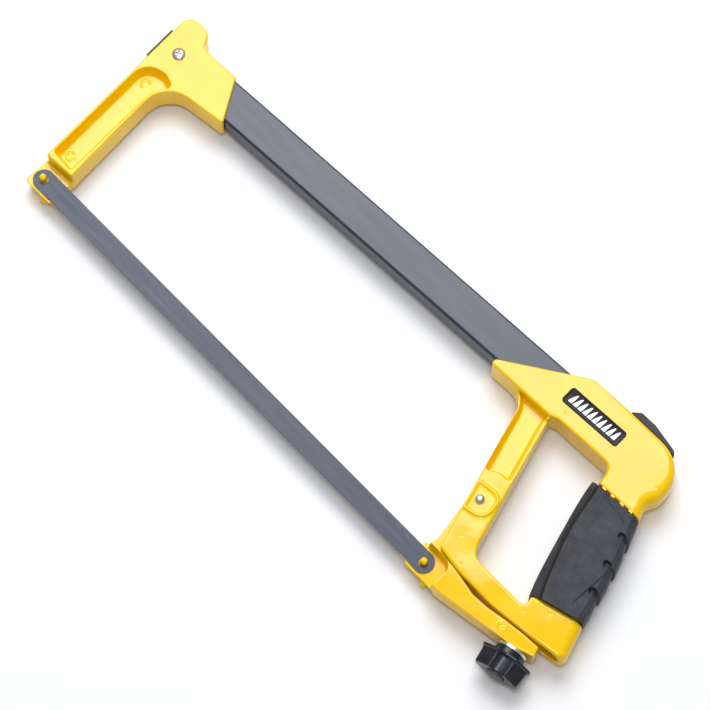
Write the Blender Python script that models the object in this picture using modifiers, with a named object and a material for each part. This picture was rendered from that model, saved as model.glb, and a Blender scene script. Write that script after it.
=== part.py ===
"""High-tension hacksaw frame with a 300 mm blade, lying on its side.

Design frame, in millimetres: the front blade pin is at X 0, Y 0. +X runs along the
blade to the rear pin, +Y runs from the blade to the backbone tube, +Z is the side
that faces up. Z 0 is the middle of the castings' thickness and the blade's top face.
The finished model is moved so that its box stands centred on the origin.
"""
import math

import bmesh
import bpy
from mathutils import Matrix, Vector

MM = 0.001
GAP = 0.3                    # clearance between pieces that touch
ARC_STEP = math.radians(15)  # largest turn between two points of an arc

# Blade
PIN_SPACING = 300.0
BLADE_WIDTH = 12.0
BLADE_THICKNESS = 0.65
BLADE_HOLE_RADIUS = 2.5
PIN_RADIUS = 1.9
PIN_HEIGHT = 4.0             # above the blade's top face
SEAT_Z = -BLADE_THICKNESS - GAP
SEAT_EDGE_Y = -7.4           # the blade seats' edge on the tooth side
ANGLED_PIN_OFFSET = 7.0      # the angled pins stand this much further along X
ANGLED_SEAT_TILT = math.radians(55)
ANGLED_PIN_HEIGHT = 3.6

# Backbone tube
TUBE_HEIGHT = 22.0
TUBE_THICKNESS = 12.5
TUBE_WALL = 1.2
TUBE_TILT = math.radians(2.9)
TUBE_AXIS_Y = 102.4          # height of the tube's axis at X 0
TUBE_START = -12.0
TUBE_END = 318.0

# Half thicknesses of the castings
FRONT_HALF = 8.0
ARM_HALF = 9.25
CHEEK_HALF = 8.4
STRUT_HALF = 6.0             # where the strut meets the arm
CORE_HALF = 7.2
GRIP_HALF = 11.5
LEVER_HALF = 6.6
NECK_HALF = 4.0
WEB_HALF = 1.5               # left between two opposite pockets
DRAFT = 2.2                  # how far a pocket's wall leans in, from rim to floor
EDGE_ROUND = 1.0
EDGE_DEPTHS = (0.0, 0.15, 0.5, 1.0, 2.0, 3.6, 5.4, 8.0)  # below the face, where a round edge has points

# Tension lever, its pivot and the tension screw
PIVOT = Vector((297.1, 42.9, 0.0))
RIVET_RADIUS = 2.2
SCREW_LEAN = math.radians(11.5)
SCREW_DIRECTION = Vector((-math.sin(SCREW_LEAN), math.cos(SCREW_LEAN), 0.0))
KNOB_LIP = Vector((366.2, -4.5, 0.0))
SCREW_RADIUS = 3.0
SCREW_LENGTH = 44.0
WASHER_RADIUS = 8.5
WASHER_THICKNESS = 1.4
WASHER_FACE = 3.6            # height of the washer's lower face above the knob's lip
SCREW_SLIDE = 5.0            # how far the screw travels along the lever's slot
NUT_RADIUS = 4.6
NUT_LENGTH = 16.0
NUT_START = 17.2             # height of the nut's lower end above the knob's lip

FIXING_SCREW_RADIUS = 2.0
FRONT_SCREW_S = -2.3
REAR_SCREW_S = 300.0

YELLOW = (0.93, 0.60, 0.02, 1.0)
BLACK = (0.03, 0.03, 0.035, 1.0)
BLADE_BLUE = (0.14, 0.16, 0.20, 1.0)
TUBE_GREY = (0.20, 0.22, 0.26, 1.0)
STEEL = (0.62, 0.62, 0.64, 1.0)
PALE_GREY = (0.45, 0.46, 0.48, 1.0)
BRASS = (0.75, 0.55, 0.22, 1.0)


# --- scene ---------------------------------------------------------------------

def clear_scene():
    for obj in list(bpy.data.objects):
        bpy.data.objects.remove(obj)


def new_collection(name):
    collection = bpy.data.collections.new(name)
    bpy.context.scene.collection.children.link(collection)
    return collection


def material(name, colour, roughness, metallic):
    mat = bpy.data.materials.get(name)
    if mat is None:
        mat = bpy.data.materials.new(name)
        mat.use_nodes = True
        shader = mat.node_tree.nodes["Principled BSDF"]
        shader.inputs["Base Color"].default_value = colour
        shader.inputs["Roughness"].default_value = roughness
        shader.inputs["Metallic"].default_value = metallic
        mat.diffuse_color = colour
    return mat


# --- outlines ------------------------------------------------------------------

def cross(a, b):
    return a.x * b.y - a.y * b.x


def rounded(corners):
    """Points of a polygon whose (x, y, radius) corners are replaced by arcs."""
    points = []
    for index, (x, y, radius) in enumerate(corners):
        corner = Vector((x, y))
        before = Vector(corners[index - 1][:2])
        after = Vector(corners[(index + 1) % len(corners)][:2])
        if radius == 0:
            points.append(corner)
            continue
        arriving = (corner - before).normalized()
        leaving = (after - corner).normalized()
        turn = math.atan2(cross(arriving, leaving), arriving.dot(leaving))
        tangent = radius * math.tan(abs(turn) / 2)
        side = math.copysign(1.0, turn)
        start = corner - arriving * tangent
        centre = start + Vector((-arriving.y, arriving.x)) * radius * side
        steps = max(2, math.ceil(abs(turn) / ARC_STEP))
        for step in range(steps + 1):
            angle = turn * step / steps
            spoke = Matrix.Rotation(angle, 2) @ (start - centre)
            points.append(centre + spoke)
    return points


def inset_sides(corners, distances):
    """The polygon with each side moved in by its own distance; it runs anticlockwise.

    Side i is the one that leaves corner i.
    """
    result = []
    count = len(corners)
    for index, (x, y, radius) in enumerate(corners):
        corner = Vector((x, y))
        before = Vector(corners[index - 1][:2])
        after = Vector(corners[(index + 1) % count][:2])
        arriving = (corner - before).normalized()
        leaving = (after - corner).normalized()
        normal_in = Vector((-arriving.y, arriving.x))
        normal_out = Vector((-leaving.y, leaving.x))
        move_in = distances[index - 1]
        move_out = distances[index]
        turn = cross(normal_in, normal_out)
        if abs(turn) < 0.02:
            shift = normal_in * move_in
        else:
            shift = Vector((move_in * normal_out.y - move_out * normal_in.y,
                            move_out * normal_in.x - move_in * normal_out.x)) / turn
        change = (move_in + move_out) / 2 * math.copysign(1.0, turn)
        new_radius = max(radius - change, 0.3) if radius else 0
        result.append((x + shift.x, y + shift.y, new_radius))
    return result


def inset(corners, distance):
    return inset_sides(corners, [distance] * len(corners))


def on_tube(s, t=0.0):
    """The point s along the tube's axis and t across it, towards the tube's back."""
    return Vector((s * math.cos(TUBE_TILT) - t * math.sin(TUBE_TILT),
                   TUBE_AXIS_Y + s * math.sin(TUBE_TILT) + t * math.cos(TUBE_TILT)))


def tube_rectangle(s_start, s_end, half_height, radius=0.0):
    ends = [(s_start, -half_height), (s_end, -half_height), (s_end, half_height), (s_start, half_height)]
    return [(*on_tube(s, t), radius) for s, t in ends]


# --- solids --------------------------------------------------------------------

class Workshop:
    """Makes named solids and the hidden solids that cut them or are joined to them."""

    def __init__(self):
        self.parts = new_collection("hacksaw")
        self.tools = new_collection("cutters")
        self.root = bpy.data.objects.new("saw", None)
        self.parts.objects.link(self.root)
        self.tool_count = 0

    def add(self, name, mesh, mat, parent=None):
        obj = bpy.data.objects.new(name, mesh)
        self.parts.objects.link(obj)
        obj.parent = parent or self.root
        if parent:
            obj.matrix_parent_inverse = Matrix.Translation(-parent.location)
        mesh.materials.append(mat)
        shade(mesh)
        return obj

    def tool(self, mesh):
        self.tool_count += 1
        obj = bpy.data.objects.new(f"cutter_{self.tool_count}", mesh)
        self.tools.objects.link(obj)
        obj.parent = self.root
        obj.hide_render = True
        obj.display_type = "WIRE"
        return obj

    def empty(self, name, location):
        obj = bpy.data.objects.new(name, None)
        self.parts.objects.link(obj)
        obj.parent = self.root
        obj.location = location * MM
        return obj

    def boolean(self, obj, mesh, operation):
        tool = self.tool(mesh)
        modifier = obj.modifiers.new(operation.lower(), "BOOLEAN")
        modifier.operation = operation
        modifier.object = tool
        return tool

    def cut(self, obj, mesh):
        return self.boolean(obj, mesh, "DIFFERENCE")

    def join(self, obj, mesh):
        return self.boolean(obj, mesh, "UNION")


def shade(mesh):
    mesh.shade_smooth()
    mesh.set_sharp_from_angle(angle=math.radians(35))


def plate(points, z_low, z_high):
    """A flat outline with straight sides, from z_low to z_high."""
    curve = bpy.data.curves.new("outline", "CURVE")
    curve.dimensions = "2D"
    curve.fill_mode = "BOTH"
    curve.extrude = (z_high - z_low) / 2 * MM
    spline = curve.splines.new("POLY")
    spline.points.add(len(points) - 1)
    for spline_point, point in zip(spline.points, points):
        spline_point.co = (point.x * MM, point.y * MM, 0.0, 1.0)
    spline.use_cyclic_u = True
    holder = bpy.data.objects.new("outline", curve)
    bpy.context.scene.collection.objects.link(holder)
    evaluated = holder.evaluated_get(bpy.context.evaluated_depsgraph_get())
    mesh = bpy.data.meshes.new_from_object(evaluated)
    bpy.data.objects.remove(holder)
    bpy.data.curves.remove(curve)
    bm = bmesh.new()
    bm.from_mesh(mesh)
    bmesh.ops.remove_doubles(bm, verts=bm.verts, dist=1e-6)
    bmesh.ops.dissolve_limit(bm, angle_limit=math.radians(1), verts=bm.verts, edges=bm.edges)
    bmesh.ops.translate(bm, verts=bm.verts, vec=(0, 0, (z_low + z_high) / 2 * MM))
    bmesh.ops.recalc_face_normals(bm, faces=bm.faces)
    bm.to_mesh(mesh)
    bm.free()
    return mesh


def loft(rings):
    """A closed solid through rings of 3-D points, all of the same count."""
    bm = bmesh.new()
    loops = [[bm.verts.new(Vector(point) * MM) for point in ring] for ring in rings]
    for lower, upper in zip(loops, loops[1:]):
        for index in range(len(lower)):
            after = (index + 1) % len(lower)
            bm.faces.new((lower[index], lower[after], upper[after], upper[index]))
    bm.faces.new(list(reversed(loops[0])))
    bm.faces.new(loops[-1])
    bmesh.ops.recalc_face_normals(bm, faces=bm.faces)
    mesh = bpy.data.meshes.new("loft")
    bm.to_mesh(mesh)
    bm.free()
    return mesh


def at_height(points, z):
    return [(point.x, point.y, z) for point in points]


def edge_inset(softness, depth):
    """How far a round edge of this radius stands in, this deep below the face."""
    if depth >= softness:
        return 0.0
    return softness - math.sqrt(softness ** 2 - (softness - depth) ** 2)


def soft_plate(corners, half, softness):
    """A plate from -half to half with rounded edges.

    softness is one edge radius, or one for each side in the order of the corners.
    """
    if not isinstance(softness, list):
        softness = [softness] * len(corners)
    depths = [depth for depth in EDGE_DEPTHS if depth <= max(softness)]
    rings = []
    for depth in depths:
        moved = inset_sides(corners, [edge_inset(radius, depth) for radius in softness])
        rings.append((rounded(moved), half - depth))
    upper = [at_height(points, z) for points, z in rings]
    lower = [at_height(points, -z) for points, z in rings]
    return loft(lower + upper[::-1])


def pocket(corners, rim_z, floor_z, draft):
    """A cutter whose walls lean in from the rim to the floor, and that stands 1 mm clear."""
    over = 1.0
    lean = draft * over / abs(rim_z - floor_z)
    direction = math.copysign(1.0, rim_z)
    wide = at_height(rounded(inset(corners, -lean)), rim_z + over * direction)
    narrow = at_height(rounded(inset(corners, draft)), floor_z)
    return loft([narrow, wide])


def cylinder(centre, radius, z_low, z_high, segments=32):
    bm = bmesh.new()
    bmesh.ops.create_cone(bm, cap_ends=True, segments=segments, radius1=radius * MM, radius2=radius * MM,
                          depth=(z_high - z_low) * MM)
    middle = Vector((centre[0], centre[1], (z_low + z_high) / 2)) * MM
    bmesh.ops.translate(bm, verts=bm.verts, vec=middle)
    mesh = bpy.data.meshes.new("cylinder")
    bm.to_mesh(mesh)
    bm.free()
    return mesh


def box(low, high):
    low = Vector(low)
    high = Vector(high)
    bm = bmesh.new()
    bmesh.ops.create_cube(bm, size=1.0)
    bmesh.ops.scale(bm, verts=bm.verts, vec=(high - low) * MM)
    bmesh.ops.translate(bm, verts=bm.verts, vec=(low + high) / 2 * MM)
    mesh = bpy.data.meshes.new("box")
    bm.to_mesh(mesh)
    bm.free()
    return mesh


def turned(obj_or_mesh, profile, segments=24):
    """Fills a mesh with a profile of (radius, height), top to bottom, to be spun about Z."""
    verts = [(radius * MM, 0.0, height * MM) for radius, height in profile]
    edges = [(index, index + 1) for index in range(len(profile) - 1)]
    obj_or_mesh.data.from_pydata(verts, edges, [])
    spin = obj_or_mesh.modifiers.new("spin", "SCREW")
    spin.steps = segments
    spin.render_steps = segments
    spin.use_merge_vertices = True
    spin.merge_threshold = 1e-5
    spin.use_smooth_shade = True


def add_turned(shop, name, profile, mat, parent=None, segments=24):
    obj = bpy.data.objects.new(name, bpy.data.meshes.new(name))
    shop.parts.objects.link(obj)
    obj.parent = parent or shop.root
    if parent:
        obj.matrix_parent_inverse = Matrix.Translation(-parent.location)
    obj.data.materials.append(mat)
    turned(obj, profile, segments)
    return obj


def dome(radius, height, base_z, steps=4):
    """A profile from the top of a low dome out to its rim."""
    return [(radius * math.sin(math.pi / 2 * step / steps),
             base_z + height * math.cos(math.pi / 2 * step / steps)) for step in range(steps + 1)]


def aim(obj, origin, direction):
    """Puts a piece modelled along Z at origin, with its Z along direction."""
    obj.location = Vector(origin) * MM
    obj.rotation_mode = "QUATERNION"
    obj.rotation_quaternion = Vector((0, 0, 1)).rotation_difference(Vector(direction))


# --- shared features -----------------------------------------------------------

ANGLED_NORMAL = Vector((0.0, -math.sin(ANGLED_SEAT_TILT), -math.cos(ANGLED_SEAT_TILT)))
ANGLED_FACE_RUN = Vector((0.0, math.cos(ANGLED_SEAT_TILT), -math.sin(ANGLED_SEAT_TILT)))
ANGLED_EDGE = Vector((0.0, SEAT_EDGE_Y, -1.6))
ANGLED_CENTRE = ANGLED_EDGE + ANGLED_FACE_RUN * 4.0


def angled_seat_cutter(x_start, x_end):
    """The wedge taken off below a blade seat, which leaves the second, tilted seat."""
    depth = 14.0
    near = ANGLED_EDGE - ANGLED_FACE_RUN * 2.0
    far = ANGLED_EDGE + ANGLED_FACE_RUN * depth
    section = [near, far, far + ANGLED_NORMAL * depth, near + ANGLED_NORMAL * depth]
    return loft([[(x, point.y, point.z) for point in section] for x in (x_start, x_end)])


def blade_pin_profile():
    top = dome(PIN_RADIUS, 1.2, PIN_HEIGHT - 1.2)
    return top + [(PIN_RADIUS, SEAT_Z - 5.0), (0.0, SEAT_Z - 5.0)]


def angled_pin_profile():
    top = dome(PIN_RADIUS, 1.0, ANGLED_PIN_HEIGHT - 1.0)
    return top + [(PIN_RADIUS, -3.0), (0.0, -3.0)]


def add_blade_pins(shop, end, x, mat, parent=None):
    """The upright pin at x and the pin of the tilted seat."""
    upright = add_turned(shop, f"{end}_blade_pin", blade_pin_profile(), mat, parent)
    upright.location = Vector((x, 0, 0)) * MM
    angled = add_turned(shop, f"{end}_angled_pin", angled_pin_profile(), mat, parent)
    aim(angled, ANGLED_CENTRE + Vector((x + ANGLED_PIN_OFFSET, 0, 0)), ANGLED_NORMAL)


def cut_pin_holes(shop, obj, x):
    shop.cut(obj, cylinder((x, 0), PIN_RADIUS + GAP, SEAT_Z - 5.0 - GAP, PIN_HEIGHT, 24))
    hole = shop.cut(obj, cylinder((0, 0), PIN_RADIUS + GAP, -3.0 - GAP, ANGLED_PIN_HEIGHT, 24))
    aim(hole, ANGLED_CENTRE + Vector((x + ANGLED_PIN_OFFSET, 0, 0)), ANGLED_NORMAL)


def tube_socket(s_start, s_end):
    corners = tube_rectangle(s_start, s_end, TUBE_HEIGHT / 2 + GAP)
    half = TUBE_THICKNESS / 2 + GAP
    return plate(rounded(corners), -half, half)


# --- frame ---------------------------------------------------------------------

FRONT_OUTLINE = [(-6.9, 8.8, 1.5), (12.7, 10.2, 1.5), (5.0, 85.7, 16.5), (45.9, 91.2, 1.8),
                 (29.6, 116.1, 1.5), (4.4, 114.9, 4.0), (-0.6, 124.2, 5.5), (-16.7, 123.6, 5.5)]
FRONT_SEAT = [(-7.2, SEAT_EDGE_Y, 3.0), (12.6, SEAT_EDGE_Y, 1.0), (12.6, 14.0, 0), (-7.2, 14.0, 0)]
FRONT_POCKET = [(-5.6, 13.2, 1.5), (9.5, 12.0, 1.5), (4.6, 76.5, 8.0), (10.4, 86.4, 2.4),
                (2.0, 89.2, 6.0), (-11.9, 86.0, 11.0)]


def add_front_casting(shop, mat):
    obj = shop.add("front_casting", soft_plate(FRONT_OUTLINE, FRONT_HALF, EDGE_ROUND), mat)
    shop.join(obj, plate(rounded(FRONT_SEAT), -FRONT_HALF, SEAT_Z))
    for side in (1, -1):
        shop.cut(obj, pocket(FRONT_POCKET, side * FRONT_HALF, side * WEB_HALF, DRAFT))
    shop.cut(obj, tube_socket(TUBE_START - 12, 60))
    shop.cut(obj, angled_seat_cutter(-12, 18))
    cut_pin_holes(shop, obj, 0.0)
    centre = on_tube(FRONT_SCREW_S)
    shop.cut(obj, cylinder(centre, FIXING_SCREW_RADIUS + GAP, -20, 20, 24))
    shop.cut(obj, cylinder(centre, 4.0, FRONT_HALF - 0.6, 20, 24))
    nut_pocket = cylinder((0, 0), 4.4, -20, -FRONT_HALF + 0.6, 6)
    tool = shop.cut(obj, nut_pocket)
    tool.location = (centre.x * MM, centre.y * MM, 0)
    return obj


def add_tube(shop, mat):
    """A square-cut tube: outer block with the bore taken out and the holes drilled."""
    def section(height, thickness, radius):
        half_h = height / 2
        half_t = thickness / 2
        corners = [(-half_h, -half_t, radius), (half_h, -half_t, radius),
                   (half_h, half_t, radius), (-half_h, half_t, radius)]
        return rounded(corners)

    def ring(points, s):
        return [(*on_tube(s, point.x), point.y) for point in points]

    outer = section(TUBE_HEIGHT, TUBE_THICKNESS, 1.8)
    inner = section(TUBE_HEIGHT - 2 * TUBE_WALL, TUBE_THICKNESS - 2 * TUBE_WALL, 0.8)
    obj = shop.add("frame_tube", loft([ring(outer, TUBE_START), ring(outer, TUBE_END)]), mat)
    shop.cut(obj, loft([ring(inner, TUBE_START - 5), ring(inner, TUBE_END + 5)]))
    shop.cut(obj, cylinder(on_tube(FRONT_SCREW_S), FIXING_SCREW_RADIUS + GAP, -20, 20, 16))
    shop.cut(obj, cylinder(on_tube(REAR_SCREW_S), FIXING_SCREW_RADIUS + GAP, -20, 0, 16))
    return obj


def add_tube_plug(shop, mat):
    """A plastic plug: a flange on the casting's nose and a body inside the tube."""
    flange = [(-14.35, 90.0, 0), (-16.1, 110.8, 0), (-17.5, 110.7, 0.6), (-15.75, 89.9, 0.6)]
    obj = shop.add("tube_end_plug", plate(rounded(flange), -5.0, 5.0), mat)
    half_height = TUBE_HEIGHT / 2 - TUBE_WALL - GAP
    half_thickness = TUBE_THICKNESS / 2 - TUBE_WALL - GAP
    body = tube_rectangle(-16.0, -6.0, half_height)
    shop.join(obj, plate(rounded(body), -half_thickness, half_thickness))
    return obj


def add_fixing_screw(shop, name, mat, length):
    """A cross-head pan screw with its head's seat at Z 0."""
    head = dome(3.6, 1.8, 0.0)
    profile = head + [(FIXING_SCREW_RADIUS, 0.0), (FIXING_SCREW_RADIUS, -length), (0.0, -length)]
    obj = add_turned(shop, name, profile, mat)
    for angle in (0.0, math.pi / 2):
        tool = shop.cut(obj, box((-1.9, -0.45, 0.9), (1.9, 0.45, 4.0)))
        tool.rotation_euler = (0, 0, angle + math.pi / 4)
        tool.parent = obj
    return obj


def add_front_fixing(shop, steel):
    centre = on_tube(FRONT_SCREW_S)
    screw = add_fixing_screw(shop, "front_screw", steel, 17.0)
    screw.location = Vector((centre.x, centre.y, FRONT_HALF - 0.3)) * MM
    nut = shop.add("front_screw_nut", cylinder((0, 0), 4.0, -FRONT_HALF - 1.2, -FRONT_HALF + 0.3, 6), steel)
    nut.location = Vector((centre.x, centre.y, 0)) * MM
    shop.cut(nut, cylinder(centre, FIXING_SCREW_RADIUS + GAP, -20, 0, 16))


def add_rear_fixing(shop, steel):
    centre = on_tube(REAR_SCREW_S)
    screw = add_fixing_screw(shop, "rear_screw", steel, 6.0)
    aim(screw, (centre.x, centre.y, -ARM_HALF - GAP), (0, 0, -1))


# --- handle --------------------------------------------------------------------

ARM_OUTLINE = [(246.3, 99.9, 2.0), (288.6, 101.5, 3.0), (293.2, 103.5, 3.0), (330.9, 105.2, 6.0),
               (333.3, 94.1, 0.5), (361.9, 95.5, 0.5), (358.6, 104.4, 5.0), (361.5, 110.5, 8.0),
               (361.5, 134.8, 20.0), (315.0, 134.6, 8.0), (290.6, 133.2, 6.0), (246.9, 103.7, 1.5)]
ARM_EDGES = [1.0, 1.0, 1.0, 2.0, 0.5, 5.4, 5.4, 5.4, 2.0, 1.0, 1.0, 1.0]
LOWER_OUTLINE = [(258.0, 106.0, 0), (258.0, 100.3, 0), (271.6, 100.8, 14.0), (301.2, 10.0, 2.0),
                 (318.0, 8.6, 10.0), (345.0, 8.6, 30.0), (389.0, 13.5, 1.2), (382.2, 34.2, 1.5),
                 (352.4, 26.0, 1.5), (354.8, 19.4, 3.0), (315.9, 19.2, 9.0), (288.6, 105.5, 0)]
LOWER_EDGES = [1.0, 1.0, 1.0, 1.0, 1.0, 0.5, 5.4, 1.0, 1.0, 1.0, 1.0, 1.0]
CORE_OUTLINE = [(355.0, 22.0, 0), (381.6, 26.0, 0), (358.8, 100.0, 0), (333.8, 100.0, 0)]
STRUT_POCKET = [(286.2, 55.8, 2.5), (294.0, 60.6, 4.0), (301.0, 60.4, 1.5), (289.6, 97.0, 0.5),
                (288.4, 106.0, 1.0), (264.0, 106.0, 1.0), (263.8, 100.9, 3.0), (272.6, 98.4, 14.0)]
BOSS_OUTLINE = [(293.5, 33.2, 1.6), (308.4, 36.0, 8.0), (304.4, 52.5, 6.0), (288.2, 50.6, 2.0)]
BOSS_RIM = 1.4
FORK_SLOT = [(280.0, 0.0, 0), (311.4, 0.0, 0), (304.2, 52.0, 5.0), (280.0, 52.0, 0)]
PLATE_LENGTH = 38.2
PLATE_WIDTH = 9.8
PLATE_CENTRE = Vector((305.9, 118.2))


def strut_ramp():
    """Takes the strut down to its thin end, from the rivet's boss up to the arm."""
    low_y, high_y = 60.0, 99.4
    top = ARM_HALF + 6
    left, right = 255.0, 320.0
    section = [(low_y, CHEEK_HALF), (high_y, STRUT_HALF), (high_y + 0.01, top), (low_y, top)]
    return loft([[(x, y, z) for y, z in section] for x in (left, right)])


def mirrored_in_z(mesh):
    bm = bmesh.new()
    bm.from_mesh(mesh)
    bmesh.ops.scale(bm, verts=bm.verts, vec=(1, 1, -1))
    bmesh.ops.reverse_faces(bm, faces=bm.faces)
    copy = bpy.data.meshes.new("mirrored")
    bm.to_mesh(copy)
    bm.free()
    return copy


def along_screw(distance):
    """The point on the tension screw's axis this far above the knob's lip."""
    return KNOB_LIP + SCREW_DIRECTION * distance


def add_rear_handle(shop, mat):
    lower = shop.add("rear_handle", soft_plate(LOWER_OUTLINE, CHEEK_HALF, LOWER_EDGES), mat)
    for side_cutter in (strut_ramp(), mirrored_in_z(strut_ramp())):
        shop.cut(lower, side_cutter)
    shop.join(lower, soft_plate(BOSS_OUTLINE, ARM_HALF, 0.5))
    for side in (1, -1):
        shop.cut(lower, pocket(STRUT_POCKET, side * CHEEK_HALF, side * WEB_HALF, DRAFT))
        shop.cut(lower, pocket(inset(BOSS_OUTLINE, BOSS_RIM), side * ARM_HALF, side * (ARM_HALF - 0.7), 0.2))
    shop.join(lower, soft_plate(CORE_OUTLINE, CORE_HALF, 2.0))
    shop.join(lower, soft_plate(ARM_OUTLINE, ARM_HALF, ARM_EDGES))
    shop.cut(lower, tube_socket(230, TUBE_END + GAP))
    slot_half = NECK_HALF + GAP
    shop.cut(lower, plate(rounded(FORK_SLOT), -slot_half, slot_half))
    shop.cut(lower, cylinder(PIVOT, RIVET_RADIUS + GAP, -20, 20, 24))
    bore = shop.cut(lower, cylinder((0, 0), SCREW_RADIUS + GAP, -5, 46, 24))
    aim(bore, along_screw(8.0), SCREW_DIRECTION)
    nut_seat = shop.cut(lower, cylinder((0, 0), NUT_RADIUS + GAP, -9.0, NUT_LENGTH + GAP, 24))
    aim(nut_seat, along_screw(NUT_START), SCREW_DIRECTION)
    shop.cut(lower, handle_hollow())
    shop.cut(lower, plate(name_plate_outline(GAP), ARM_HALF - 0.5, ARM_HALF + 5))
    shop.cut(lower, cylinder(on_tube(REAR_SCREW_S), FIXING_SCREW_RADIUS + GAP, -20, 0, 16))
    return lower


def handle_hollow():
    """The open bottom end of the handle: a rounded bore that runs up inside it."""
    def ring(centre, half_x, half_z, steps=20):
        points = []
        for step in range(steps):
            angle = math.tau * step / steps
            x = half_x * math.cos(angle)
            z = half_z * math.sin(angle)
            points.append((centre.x + x * math.cos(0.25), centre.y + x * math.sin(0.25), z))
        return points

    mouth = Vector((378.6, 8.0))
    end = Vector((363.2, 54.0))
    return loft([ring(mouth, 8.0, 6.2), ring(end, 5.0, 4.2)])


def name_plate_outline(margin=0.0):
    half_x = PLATE_LENGTH / 2 + margin
    half_y = PLATE_WIDTH / 2 + margin
    corners = [(-half_x, -half_y, 1.6), (half_x, -half_y, 1.6), (half_x, half_y, 1.6), (-half_x, half_y, 1.6)]
    return turned_with_tube(rounded(corners), PLATE_CENTRE)


def turned_with_tube(points, centre):
    turn = Matrix.Rotation(TUBE_TILT, 2)
    return [centre + turn @ point for point in points]


def emblem_outline(margin=0.0):
    """A generic strip of saw teeth."""
    tooth = 3.0
    count = 10
    low = -1.6 - margin
    half = tooth * count / 2 + margin
    points = [Vector((-half, low)), Vector((half, low))]
    for index in range(count, 0, -1):
        x = tooth * (index - count / 2)
        points.append(Vector((x + margin, 1.8 + margin)))
        points.append(Vector((x - tooth + 0.5 + margin, -0.1 + margin)))
    points[-1].x = -half
    return turned_with_tube(points, PLATE_CENTRE)


def add_name_plate(shop, black, steel):
    low = ARM_HALF - 0.5 + GAP
    plate_obj = shop.add("name_plate", plate(name_plate_outline(), low, low + 0.8), black)
    shop.cut(plate_obj, plate(emblem_outline(GAP), low + 0.4, low + 3.0))
    shop.add("plate_emblem", plate(emblem_outline(), low + 0.4 + GAP, low + 1.1), steel)


def add_grip(shop, mat):
    corners = [(351.3, 26.2, 2.0), (383.2, 34.9, 2.0), (363.6, 95.2, 2.0), (330.3, 93.5, 2.0), (339.6, 59.5, 60.0)]
    obj = shop.add("grip_sleeve", soft_plate(corners, GRIP_HALF, [1.0, 8.0, 1.0, 6.5, 6.5]), mat)
    half = CORE_HALF + GAP
    shop.cut(obj, plate(rounded(inset(CORE_OUTLINE, -GAP)), -half, half))
    return obj


def add_heel_pad(shop, mat):
    outline = [(317.0, 135.1, 0.3), (346.19, 135.1, 20.3), (350.4, 133.0, 0.3), (349.2, 135.4, 1.5),
               (322.0, 139.4, 3.0), (316.8, 137.2, 1.5)]
    obj = shop.add("heel_pad", plate(rounded(outline), -6.5, 6.5), mat)
    return obj


def add_pivot(shop, steel, brass):
    seat = ARM_HALF - 0.7 + GAP
    profile = dome(2.75, 1.9, seat) + [(RIVET_RADIUS, seat), (RIVET_RADIUS, -seat), (3.4, -seat),
                                      (3.4, -seat - 0.9), (0.0, -seat - 0.9)]
    rivet = add_turned(shop, "pivot_rivet", profile, steel)
    rivet.location = PIVOT * MM
    inner = RIVET_RADIUS + GAP
    half = NECK_HALF
    bush = [(inner, half), (inner + 1.0, half), (inner + 1.0, -half), (inner, -half), (inner, half)]
    bush_obj = add_turned(shop, "pivot_bush", bush, brass)
    bush_obj.location = PIVOT * MM


# --- tension lever, screw and blade --------------------------------------------

LEVER_OUTLINE = [(296.0, SEAT_EDGE_Y, 1.0), (316.0, SEAT_EDGE_Y, 14.0), (365.2, 0.55, 40.0), (377.2, 5.0, 3.0),
                 (375.3, 9.6, 2.5), (352.0, 7.6, 20.0), (336.0, 5.0, 8.0), (322.0, 5.0, 6.0),
                 (312.5, 8.6, 3.0), (296.0, 9.5, 1.0)]
LEVER_TONGUE = [(292.3, SEAT_EDGE_Y, 2.5), (312.5, SEAT_EDGE_Y, 0), (312.5, 5.0, 0), (304.0, 9.0, 0), (292.3, 9.0, 1.0)]
NECK_OUTLINE = [(294.8, 3.0, 0), (309.4, 3.0, 0), (302.2, 48.8, 5.6), (291.2, 48.8, 5.6),
                (292.4, 34.0, 10.0), (296.3, 14.0, 8.0)]
LEVER_SEAT = [(284.0, -14.0, 0), (312.4, -14.0, 0), (313.2, 8.5, 6.5), (284.0, 8.5, 0)]
SCREW_SLOT_REACH = SCREW_SLIDE + SCREW_RADIUS + GAP


def add_lever(shop, mat, parent):
    obj = shop.add("tension_lever", soft_plate(LEVER_OUTLINE, LEVER_HALF, 0.8), mat, parent)
    shop.join(obj, plate(rounded(LEVER_TONGUE), -LEVER_HALF + 0.2, SEAT_Z))
    shop.join(obj, plate(rounded(NECK_OUTLINE), -NECK_HALF, NECK_HALF))
    shop.cut(obj, pocket(LEVER_SEAT, LEVER_HALF, SEAT_Z, 0.9))
    shop.cut(obj, angled_seat_cutter(288, 314))
    cut_pin_holes(shop, obj, PIN_SPACING)
    shop.cut(obj, cylinder(PIVOT, RIVET_RADIUS + 1.0 + 2 * GAP, -20, 20, 24))
    radius = SCREW_RADIUS + GAP
    slot = [(-radius, -radius, radius), (SCREW_SLOT_REACH, -radius, radius),
            (SCREW_SLOT_REACH, radius, radius), (-radius, radius, radius)]
    slot_tool = shop.cut(obj, plate(rounded([(x, y, r * 0.999) for x, y, r in slot]), -5, 20))
    slot_tool.matrix_basis = screw_frame(along_screw(0))
    return obj


def screw_frame(origin):
    """Z along the tension screw, X along the lever towards its tip, Y across the lever."""
    towards_tip = Vector((SCREW_DIRECTION.y, -SCREW_DIRECTION.x, 0.0))
    across = SCREW_DIRECTION.cross(towards_tip)
    axes = Matrix((towards_tip, across, SCREW_DIRECTION)).transposed()
    return Matrix.Translation(origin * MM) @ axes.to_4x4()


KNOB_LENGTH = 10.8
COLLAR_RADIUS = 8.6
CAP_RADIUS = 5.0
HEAD_RADIUS = 4.9


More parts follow.
